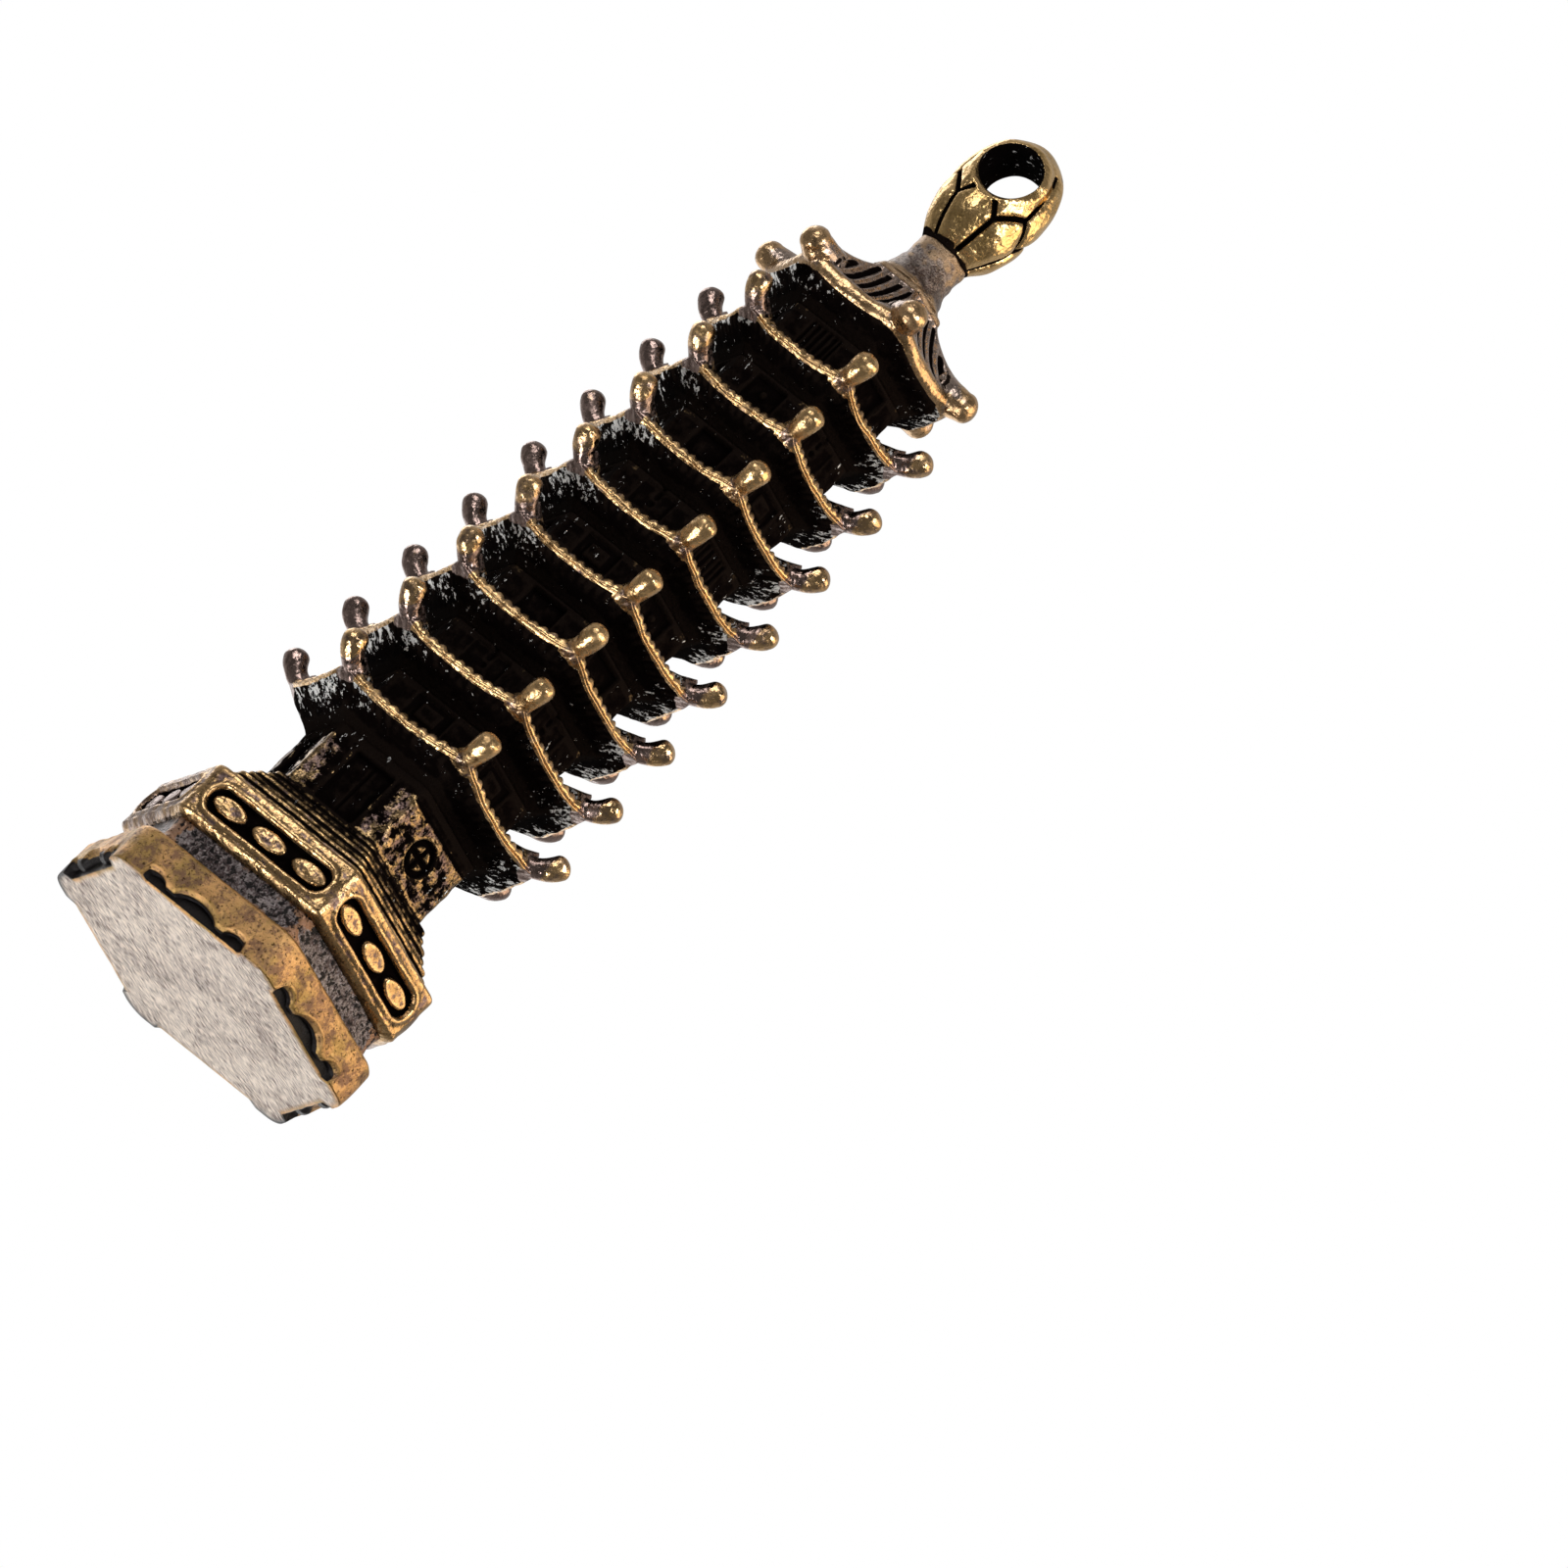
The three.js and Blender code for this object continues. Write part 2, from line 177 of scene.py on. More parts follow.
@dataclass
class Surface:
    """A closed surface in millimetres, as points and faces."""

    points: Array
    faces: list[tuple[int, ...]]

    @classmethod
    def from_rings(cls, rings: Array) -> "Surface":
        """Closes a stack of rings, bottom to top, each anticlockwise seen from above.

        Args:
            rings: Points of shape (levels, around, 3).

        Returns:
            The surface, with a fan at each end.
        """
        levels, around, _ = rings.shape
        points = np.vstack([rings.reshape(-1, 3), rings[0].mean(0), rings[-1].mean(0)])
        index = np.arange(levels * around).reshape(levels, around)
        beside = np.roll(index, -1, axis=1)
        quads = np.stack([index[:-1], beside[:-1], beside[1:], index[1:]], axis=-1).reshape(-1, 4)
        bottom, top = levels * around, levels * around + 1
        faces = [tuple(quad) for quad in quads.tolist()]
        faces += [(bottom, b, a) for a, b in zip(index[0].tolist(), beside[0].tolist())]
        faces += [(top, a, b) for a, b in zip(index[-1].tolist(), beside[-1].tolist())]
        return cls(points, faces)

    @classmethod
    def merged(cls, parts: Sequence["Surface"]) -> "Surface":
        """One surface that holds several which don't touch."""
        points: list[Array] = []
        faces: list[tuple[int, ...]] = []
        offset = 0
        for part in parts:
            points.append(part.points)
            faces += [tuple(i + offset for i in face) for face in part.faces]
            offset += len(part.points)
        return cls(np.vstack(points), faces)

    def turned(self, angle: float) -> "Surface":
        """The same surface, turned about the axis of the charm."""
        c, s = math.cos(angle), math.sin(angle)
        return Surface(self.points @ np.array([[c, s, 0], [-s, c, 0], [0, 0, 1]]), self.faces)

    def on_corners(self) -> "Surface":
        """Six copies of a surface made on azimuth 0, one at each corner of the plan."""
        return Surface.merged([self.turned(i * SIDE_ANGLE) for i in range(SIDES)])

    def to_object(self, name: str) -> bpy.types.Object:
        """Makes a Blender object of it, in metres."""
        mesh = bpy.data.meshes.new(name)
        mesh.from_pydata((self.points * MM).tolist(), [], self.faces)
        mesh.update()
        made = bpy.data.objects.new(name, mesh)
        bpy.context.scene.collection.objects.link(made)
        return made


def past_front_corner(points: Array, low: float, high: float) -> Array:
    """How far points have turned away from the front corner, which faces the camera and the lights.

    Args:
        points: Points in millimetres.
        low: The angle from the corner, in degrees, up to which the result is 0.
        high: The angle from which it is 1.

    Returns:
        Values from 0 to 1.
    """
    azimuth = np.arctan2(points[:, 1], points[:, 0])
    off = np.abs((azimuth - FRONT_NORMAL - SIDE_ANGLE / 2 + math.pi) % (2 * math.pi) - math.pi)
    return ease(low, high, np.degrees(off))


def away_from_lit_front(points: Array) -> Array:
    """Rises from 0 on the front corner, which faces the camera and the lights, to 1 away from it; it sets
    where painted glints thicken and painted shade falls.
    """
    return past_front_corner(points, 34, 58)


def turned_away(points: Array) -> Array:
    """0 on the two front sides of the plan, which face the camera and the lights, and 1 on the others; it
    sets painted shade on the sides turned away.
    """
    return past_front_corner(points, 60, 72)


class Joining(Enum):
    """How a second surface is combined with the first."""

    WELD = "UNION"
    BORE = "DIFFERENCE"


def combine(name: str, main: Surface, other: Surface, how: Joining) -> bpy.types.Object:
    """Welds a surface on to another, or bores it out.

    Args:
        name: The name of the object made.
        main: The surface that is kept.
        other: The surface that is added to it or taken from it.
        how: Which of the two is done.

    Returns:
        The combined object.
    """
    made = main.to_object(name)
    tool = other.to_object(name + "_tool")
    modifier = made.modifiers.new("combine", "BOOLEAN")
    modifier.solver = "MANIFOLD"
    modifier.operation = how.value
    modifier.object = tool
    depsgraph = bpy.context.evaluated_depsgraph_get()
    mesh = bpy.data.meshes.new_from_object(made.evaluated_get(depsgraph))
    old = made.data
    made.modifiers.clear()
    made.data = mesh
    mesh.name = name
    bpy.data.meshes.remove(old)
    spent = tool.data
    bpy.data.objects.remove(tool)
    bpy.data.meshes.remove(spent)
    return made


@dataclass(frozen=True)
class HexPlan:
    """Samples round a hexagon whose corners are on azimuths 0, 60, ... and may be rounded."""

    per_side: int = 96

    @property
    def share(self) -> Array:
        """Where the samples are on a side, from -1 at one corner to 1 at the next."""
        return np.linspace(-1, 1, self.per_side, endpoint=False)

    def outline(self, corner: Array, fillet: float) -> tuple[Array, Array]:
        """One side of the rounded hexagon, in the side's own frame.

        Args:
            corner: The corner radius of each level, before rounding.
            fillet: The radius that rounds the corners.

        Returns:
            The distance out from the axis and the distance along the side, each of shape
            (levels, samples).
        """
        corner = np.atleast_1d(np.asarray(corner, float))[:, None]
        share = self.share[None, :]
        straight = corner / 2 - fillet * TAN_HALF_SIDE
        half = straight + fillet * SIDE_ANGLE / 2
        run = np.abs(share) * half
        turn = np.clip((run - straight) / fillet, 0, SIDE_ANGLE / 2)
        out = corner * COS_HALF_SIDE - fillet + fillet * np.cos(turn)
        along = np.minimum(run, straight) + fillet * np.sin(turn)
        return out, np.sign(share) * along

    def place(self, out: Array, along: Array, z: float | Array) -> Array:
        """Turns side coordinates into rings of points.

        Args:
            out: Distance from the axis, of shape (levels, samples) or (levels, sides, samples).
            along: Distance along the side, of the same kind.
            z: Height, of the same kind, or one number.

        Returns:
            Points of shape (levels, sides * samples, 3).
        """
        levels = out.shape[0]
        shape = (levels, SIDES, self.per_side)
        inputs = [np.atleast_2d(v) for v in (out, along, z)]
        out, along, z = (np.broadcast_to(v if v.ndim == 3 else v[:, None, :], shape) for v in inputs)
        normal = (FRONT_NORMAL + np.arange(SIDES) * SIDE_ANGLE)[None, :, None]
        x = out * np.cos(normal) - along * np.sin(normal)
        y = out * np.sin(normal) + along * np.cos(normal)
        return np.stack([x, y, z], axis=-1).reshape(levels, -1, 3)


def sector_coordinates(points: Array, start: float) -> tuple[Array, Array, Array]:
    """Finds which of six evenly spaced directions each point is nearest to.

    Args:
        points: Points in millimetres.
        start: The azimuth of the first direction.

    Returns:
        The distance out along that direction, the distance across it and its number.
    """
    azimuth = np.arctan2(points[:, 1], points[:, 0]) - start
    number = np.round(azimuth / SIDE_ANGLE)
    off = azimuth - number * SIDE_ANGLE
    radius = from_axis(points)
    return radius * np.cos(off), radius * np.sin(off), (number % SIDES).astype(int)


def side_coordinates(points: Array) -> tuple[Array, Array, Array]:
    """The distance out towards the nearest side, the distance along it and the side's number."""
    return sector_coordinates(points, FRONT_NORMAL)


def corner_coordinates(points: Array) -> tuple[Array, Array]:
    """The distance out towards the nearest corner, and the distance across from that line."""
    return sector_coordinates(points, 0.0)[:2]


@dataclass(frozen=True)
class CurledRod:
    """A round rod that leaves the hip of an eave, curls up and ends in a ball."""

    root: tuple[float, float]
    tip: tuple[float, float]
    root_radius: float
    neck_radius: float
    ball_radius: float
    knee: tuple[float, float] = (0.72, 0.2)
    ball_length: float = 0.8
    stations: int = 22
    ball_stations: int = 8
    around: int = 20

    def surface(self) -> Surface:
        """The rod on azimuth 0."""
        root, tip = np.array(self.root), np.array(self.tip)
        knee = root + (tip - root) * np.array(self.knee)
        t = np.linspace(0, 1, self.stations)[:, None]
        path = (1 - t) ** 2 * root + 2 * t * (1 - t) * knee + t**2 * tip
        share = t[:, 0]
        radius = self.root_radius + (self.neck_radius - self.root_radius) * ease(0, 0.45, share)
        radius = radius + (self.ball_radius - self.neck_radius) * ease(0.35, 0.95, share)
        heading = tip - knee
        heading = heading / np.linalg.norm(heading)
        ball = np.radians(np.linspace(8, 82, self.ball_stations))[:, None]
        path = np.vstack([path, tip + heading * np.sin(ball) * self.ball_radius * self.ball_length])
        radius = np.concatenate([radius, self.ball_radius * np.cos(ball[:, 0])])
        ahead = np.gradient(path, axis=0)
        ahead[-self.ball_stations :] = heading
        ahead /= np.linalg.norm(ahead, axis=1)[:, None]
        angle = full_turn(self.around)[None, :]
        across = -radius[:, None] * np.sin(angle)
        x = path[:, :1] + across * ahead[:, 1:]
        y = radius[:, None] * np.cos(angle)
        z = path[:, 1:] - across * ahead[:, :1]
        return Surface.from_rings(np.stack([x, y, z], axis=-1))


# ------------------------------------------------------------------ shader maths


class Signal:
    """A shader socket that takes part in Python expressions."""

    def __init__(self, nodes: "NodeMaker", socket: bpy.types.NodeSocket) -> None:
        """Wraps a socket of the given node maker's tree."""
        self.nodes = nodes
        self.socket = socket

    def _math(self, operation: str, first: Any, second: Any) -> "Signal":
        """Adds a Math node on two values or links."""
        return self.nodes.make("ShaderNodeMath", {"operation": operation}, {0: first, 1: second})

    def __add__(self, other: Any) -> "Signal":
        """Sum."""
        return self._math("ADD", self, other)

    def __radd__(self, other: Any) -> "Signal":
        """Reflected sum."""
        return self._math("ADD", other, self)

    def __sub__(self, other: Any) -> "Signal":
        """Difference."""
        return self._math("SUBTRACT", self, other)

    def __rsub__(self, other: Any) -> "Signal":
        """Reflected difference."""
        return self._math("SUBTRACT", other, self)

    def __mul__(self, other: Any) -> "Signal":
        """Product."""
        return self._math("MULTIPLY", self, other)

    def __rmul__(self, other: Any) -> "Signal":
        """Reflected product."""
        return self._math("MULTIPLY", other, self)

    def eased(self, low: float, high: float) -> "Signal":
        """Rises smoothly from 0 to 1 between two values.

        Args:
            low: Where the result is still 0.
            high: Where the result has become 1.

        Returns:
            The eased signal.
        """
        settings = {"interpolation_type": "SMOOTHSTEP"}
        if low < high:
            values = {"Value": self, "From Min": low, "From Max": high}
        else:
            values = {"Value": self, "From Min": high, "From Max": low, "To Min": 1.0, "To Max": 0.0}
        return self.nodes.make("ShaderNodeMapRange", settings, values)


class NodeMaker:
    """Builds the node tree of one material or world."""

    def __init__(self, owner: bpy.types.Material | bpy.types.World) -> None:
        """Empties the owner's node tree."""
        owner.use_nodes = True
        self.owner = owner
        self.tree = owner.node_tree
        self.tree.nodes.clear()

    @classmethod
    def material(cls, name: str) -> "NodeMaker":
        """Starts a new material."""
        return cls(bpy.data.materials.new(name))

    def make(
        self,
        kind: str,
        settings: Mapping[str, Any] | None = None,
        inputs: Mapping[Any, Any] | None = None,
        output: int | str = 0,
    ) -> Signal:
        """Adds a node.

        Args:
            kind: The node's type.
            settings: Its settings, which are set first.
            inputs: The values or links of its sockets, by name or number.
            output: The socket that the result wraps.

        Returns:
            The chosen output as a signal.
        """
        node = self.tree.nodes.new(kind)
        for key, value in (settings or {}).items():
            setattr(node, key, value)
        for key, value in (inputs or {}).items():
            if isinstance(value, Signal):
                self.tree.links.new(value.socket, node.inputs[key])
            elif isinstance(value, tuple) and node.inputs[key].type == "RGBA":
                node.inputs[key].default_value = (*value, 1.0)
            else:
                node.inputs[key].default_value = value
        return Signal(self, node.outputs[output]) if node.outputs else None

    def stretched(self, place: Signal, by: Triple) -> Signal:
        """A vector scaled along each axis."""
        return self.make("ShaderNodeVectorMath", {"operation": "MULTIPLY"}, {0: place, 1: by})

    def millimetres(self, stretch: Triple = (1.0, 1.0, 1.0)) -> Signal:
        """Object coordinates in millimetres, scaled along each axis."""
        place = self.make("ShaderNodeTexCoord", output="Object")
        return self.stretched(place, tuple(1 / MM * value for value in stretch))

    def kept(self, *names: str) -> list[Signal]:
        """Values kept on the points of the mesh, by name."""
        wanted = [{"attribute_name": name} for name in names]
        return [self.make("ShaderNodeAttribute", settings, output="Fac") for settings in wanted]

    def noise(self, place: Signal, scale: float, detail: float = 3.0, rough: float = 0.55) -> Signal:
        """Cloudy noise between 0 and 1.

        Args:
            place: The coordinates.
            scale: Features in a unit of the coordinates.
            detail: How many octaves are added.
            rough: How strong the finer octaves are.

        Returns:
            The noise value.
        """
        values = {"Vector": place, "Scale": scale, "Detail": detail, "Roughness": rough}
        return self.make("ShaderNodeTexNoise", inputs=values)

    def mix(self, factor: Any, first: Any, second: Any) -> Signal:
        """Blends two colours."""
        values = {0: factor, 6: first, 7: second}
        return self.make("ShaderNodeMix", {"data_type": "RGBA"}, values, output=2)

    def bump(
        self, height: Signal, depth: float, strength: float, under: Signal | None = None
    ) -> Signal:
        """A bumped normal.

        Args:
            height: The height signal, from 0 to 1.
            depth: The height of 1, in millimetres.
            strength: How much of it is used.
            under: A bumped normal that this one is laid on.

        Returns:
            The normal.
        """
        values = {"Height": height, "Distance": depth * MM, "Strength": strength}
        if under is not None:
            values["Normal"] = under
        return self.make("ShaderNodeBump", inputs=values)

    def finish(self, shader: Signal) -> bpy.types.Material:
        """Joins a shader to the material's output."""
        self.make("ShaderNodeOutputMaterial", inputs={"Surface": shader})
        return self.owner

    def metal(
        self, colour: Signal, metallic: Signal, rough: Signal, normal: Signal, **rest: float
    ) -> bpy.types.Material:
        """Finishes the material as a worn metal.

        Args:
            colour: The base colour.
            metallic: How metallic it is.
            rough: Its roughness.
            normal: Its bumped normal.
            rest: The shader's constants, by socket name with _ for a space.

        Returns:
            The finished material.
        """
        values = {"Base Color": colour, "Metallic": metallic, "Roughness": rough, "Normal": normal}
        values |= {name.replace("_", " "): value for name, value in rest.items()}
        return self.finish(self.make("ShaderNodeBsdfPrincipled", inputs=values))


class Finish(ABC):
    """A finish that makes its own material."""

    @abstractmethod
    def build(self) -> bpy.types.Material:
        """Makes the material."""


@dataclass(frozen=True)
class AntiqueBrass(Finish):
    """Black-brown patina, worn through to brass wherever the relief stands proud, with some painted shade,
    painted glints and a painted edge highlight laid in its colours.
    """

    name: str
    bright: Colour = (0.68, 0.44, 0.21)
    dull: Colour = (0.29, 0.175, 0.075)
    plum: Colour = (0.15, 0.10, 0.09)
    dusky: Colour = (0.40, 0.295, 0.255)
    patina: Colour = (0.0035, 0.0022, 0.002)
    crust_and_edge_highlight: Colour = (0.0105, 0.007, 0.0056)
    silver: Colour = (0.78, 0.77, 0.75)
    wear_from: float = 0.42
    wear_to: float = 0.54
    raggedness: float = 0.34
    dimpling: float = 1.1
    graining: float = 0.024
    blotches: float = 0.565
    pits: float = 0.645
    fleck_from: float = 0.70

    def build(self) -> bpy.types.Material:
        """Makes the material."""
        nodes = NodeMaker.material(self.name)
        place = nodes.millimetres()
        strokes = nodes.millimetres((1.0, 1.0, 0.38))
        zone, proud, glint, dusk_and_shade = nodes.kept("zone", "proud", "glint", "dusk_and_shade")
        ragged = nodes.noise(place, 1.9, 6.0, 0.68)
        grain = nodes.noise(place, 9.0, 4.0, 0.6)
        cloud = nodes.noise(place, 0.9, 3.0)
        level = zone + 0.5 * (proud - 0.5) + self.raggedness * (ragged - 0.5)
        wear = level.eased(self.wear_from, self.wear_to)
        tone = (0.7 * cloud + 0.5 * grain - 0.1 + 0.5 * (proud - 0.5)).eased(0.3, 0.68)
        brass = nodes.mix(tone, self.dull, self.bright)
        blotch = nodes.noise(place, 1.5, 5.0, 0.7).eased(self.blotches - 0.05, self.blotches + 0.05)
        brass = nodes.mix(blotch * (proud.eased(0.75, 0.5)), brass, self.plum)
        # Plum-grey over the brass from the dusk value: partly the brass's own tarnish, partly painted shade
        # on rods and sides turned from the lit front.
        shaded = (dusk_and_shade + 0.9 * (ragged - 0.5)).eased(0.3, 0.62)
        brass = nodes.mix(shaded, brass, nodes.mix(grain, self.plum, self.dusky))
        pit = grain.eased(self.pits - 0.03, self.pits + 0.03)
        brass = nodes.mix(0.85 * pit, brass, self.patina)
        scratch = nodes.noise(strokes, 3.4, 5.0, 0.72)
        patch = nodes.noise(place, 0.7, 2.0).eased(0.42, 0.56)
        # Silver flecks on the bare patina: partly real residue, partly painted glints, thickened by the
        # glint value toward the sides seen edge-on from the lit front.
        fleck_and_glint = (scratch + glint * (0.07 + 0.15 * patch)).eased(self.fleck_from, self.fleck_from + 0.02)
        # Patina a little lighter on proud edges: partly real crust, partly a painted edge highlight that
        # lets the relief read without specular.
        crust_and_edge_highlight = nodes.mix((ragged + 0.9 * (proud - 0.5)).eased(0.42, 0.72), self.patina, self.crust_and_edge_highlight)
        dark = nodes.mix(fleck_and_glint, crust_and_edge_highlight, self.silver)
        colour = nodes.mix(wear, dark, brass)
        metal = 0.02 + 0.96 * wear + 0.6 * fleck_and_glint
        rough = 0.50 - 0.24 * wear - 0.2 * fleck_and_glint + 0.2 * (grain - 0.5) + 0.15 * blotch
        relief = nodes.bump(scratch * (1 - wear) + self.dimpling * cloud * wear, 0.3, 0.7)
        normal = nodes.bump(grain, self.graining, 0.5, relief)
        return nodes.metal(colour, metal, rough, normal, IOR=1.3, Specular_IOR_Level=0.0)


@dataclass(frozen=True)
class GroundBase(Finish):
    """Worn brass on the sides of the foot, and silvery ground metal on its flat underside."""

    name: str
    brass: Colour = (0.62, 0.35, 0.14)
    olive: Colour = (0.40, 0.25, 0.085)
    plum: Colour = (0.15, 0.08, 0.07)
    black: Colour = (0.005, 0.003, 0.003)
    pewter: Colour = (0.93, 0.82, 0.71)
    streak: Colour = (0.20, 0.135, 0.115)
    ground_heading: float = -48.0
    ground_stretch: Triple = (0.62, 4.6, 1.0)

    def build(self) -> bpy.types.Material:
        """Makes the material."""
        nodes = NodeMaker.material(self.name)
        place = nodes.millimetres()
        zone, proud, ground = nodes.kept("zone", "proud", "ground")
        ragged = nodes.noise(place, 1.7, 6.0, 0.7)
        grain = nodes.noise(place, 7.0, 4.0, 0.6)
        cloud = nodes.noise(place, 0.55, 3.0)
        wear = (zone + 0.5 * (proud - 0.5) + 0.3 * (ragged - 0.5)).eased(0.34, 0.5)
        brass = nodes.mix(cloud.eased(0.42, 0.6), self.brass, self.olive)
        stain = nodes.noise(place, 1.15, 8.0, 0.84).eased(0.46, 0.57)
        brass = nodes.mix(stain * proud.eased(0.8, 0.55) * 0.75, brass, self.plum)
        brass = nodes.mix(grain.eased(0.57, 0.64) * 0.8, brass, self.black)
        side = nodes.mix(wear, self.black, brass)
        turn = {"Vector": place, "Angle": math.radians(self.ground_heading)}
        brushed = nodes.make("ShaderNodeVectorRotate", {"rotation_type": "Z_AXIS"}, turn)
        lines = nodes.noise(nodes.stretched(brushed, self.ground_stretch), 2.9, 5.0, 0.7)
        tint = lines + 0.2 * (nodes.noise(place, 0.35, 2.0) - 0.5)
        flat = nodes.mix(tint.eased(0.46, 0.57), self.pewter, self.streak)
        flat = nodes.mix((tint + 0.5 * (cloud - 0.5)).eased(0.64, 0.68), flat, self.black)
        colour = nodes.mix(ground, side, flat)
        relief = nodes.bump(lines * ground * 3.0 + 1.3 * ragged * (1 - ground), 0.16, 0.7)
        normal = nodes.bump(grain, 0.03, 0.5, relief)
        rough = 0.33 + 0.09 * ground + 0.2 * (grain - 0.5) + 0.12 * stain
        return nodes.metal(colour, 0.3 + 0.65 * wear, rough, normal, IOR=1.38)


@dataclass(frozen=True)
class SpeckledPatina(Finish):
    """A rough mauve-grey patina with black pits, and copper showing where it is rubbed."""

    name: str
    mauve: Colour = (0.075, 0.055, 0.055)
    lilac: Colour = (0.31, 0.27, 0.265)
    copper: Colour = (0.36, 0.19, 0.10)
    black: Colour = (0.005, 0.003, 0.003)
    rub_from: float = 0.84
    pit_scale: float = 3.8
    pit_share: float = 0.51
    pit_depth: float = 0.26

    def build(self) -> bpy.types.Material:
        """Makes the material."""
        nodes = NodeMaker.material(self.name)
        place = nodes.millimetres()
        proud, zone = nodes.kept("proud", "zone")
        speck = nodes.noise(place, self.pit_scale, 5.0, 0.62)
        grain = nodes.noise(place, 10.0, 3.0)
        cloud = nodes.noise(place, 0.8, 4.0, 0.6)
        base = nodes.mix((0.6 * grain + 0.4 * cloud).eased(0.4, 0.6), self.mauve, self.lilac)
        rubbed = (0.6 * (proud - 0.5) + cloud + 0.4 * zone).eased(self.rub_from, self.rub_from + 0.12)
        base = nodes.mix(rubbed * 0.8, base, self.copper)
        pit = speck.eased(self.pit_share, self.pit_share + 0.05)
        colour = nodes.mix(pit, base, self.black)
        normal = nodes.bump(grain, 0.05, 0.6, nodes.bump(speck, self.pit_depth, 0.6))
        rough = 0.32 + 0.25 * (grain - 0.5)
        return nodes.metal(colour, 0.9 - 0.5 * pit, rough, normal, IOR=1.4)


class Slot(Enum):
    """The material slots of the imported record."""

    ANTIQUE = "antique_brass"
    WORN = "worn_brass"
    SPECKLED = "speckled_patina"
    MATTE = "matte_patina"


class FinishBook:
    """Makes each finish once and hands it out."""

    def __init__(self) -> None:
        """Starts with no material made."""
        self._made: dict[str, bpy.types.Material] = {}

    def get(self, finish: Finish) -> bpy.types.Material:
        """The material of a finish."""
        if finish.name not in self._made:
            self._made[finish.name] = finish.build()
        return self._made[finish.name]


FINISHES = FinishBook()
DARK_BRASS = AntiqueBrass("antique_brass")
ROOF_BRASS = AntiqueBrass(
    "antique_roof",
    bright=(0.56, 0.36, 0.19),
    plum=(0.20, 0.145, 0.13),
    dusky=(0.66, 0.52, 0.43),
    wear_from=0.40,
    wear_to=0.54,
)
WALL_BRASS = AntiqueBrass(
    "antique_wall",
    bright=(0.32, 0.21, 0.10),
    dull=(0.13, 0.088, 0.043),
    blotches=0.48,
    pits=0.545,
    wear_from=0.45,
    wear_to=0.52,
    raggedness=1.2,
)
CROWN_BRASS = AntiqueBrass(
    "antique_crown", bright=(0.42, 0.27, 0.12), dull=(0.15, 0.095, 0.05), raggedness=0.5
)
FRAME_BRASS = AntiqueBrass(
    "worn_brass", bright=(0.54, 0.34, 0.16), dull=(0.24, 0.15, 0.065), blotches=0.53, pits=0.62
)
BUD_BRASS = AntiqueBrass(
    "polished_brass", bright=(0.80, 0.53, 0.24), dull=(0.44, 0.28, 0.10), blotches=0.66, pits=0.73
)
FOOT_BRASS = GroundBase("ground_brass")
ROUGH_WAIST = SpeckledPatina("speckled_patina")
MATTE_NECK = SpeckledPatina(
    "matte_patina",
    mauve=(0.10, 0.07, 0.06),
    lilac=(0.31, 0.25, 0.215),
    copper=(0.42, 0.28, 0.16),
    rub_from=0.66,
    pit_scale=5.0,
    pit_share=0.61,
    pit_depth=0.12,
)


# ------------------------------------------------------------------ members of the casting


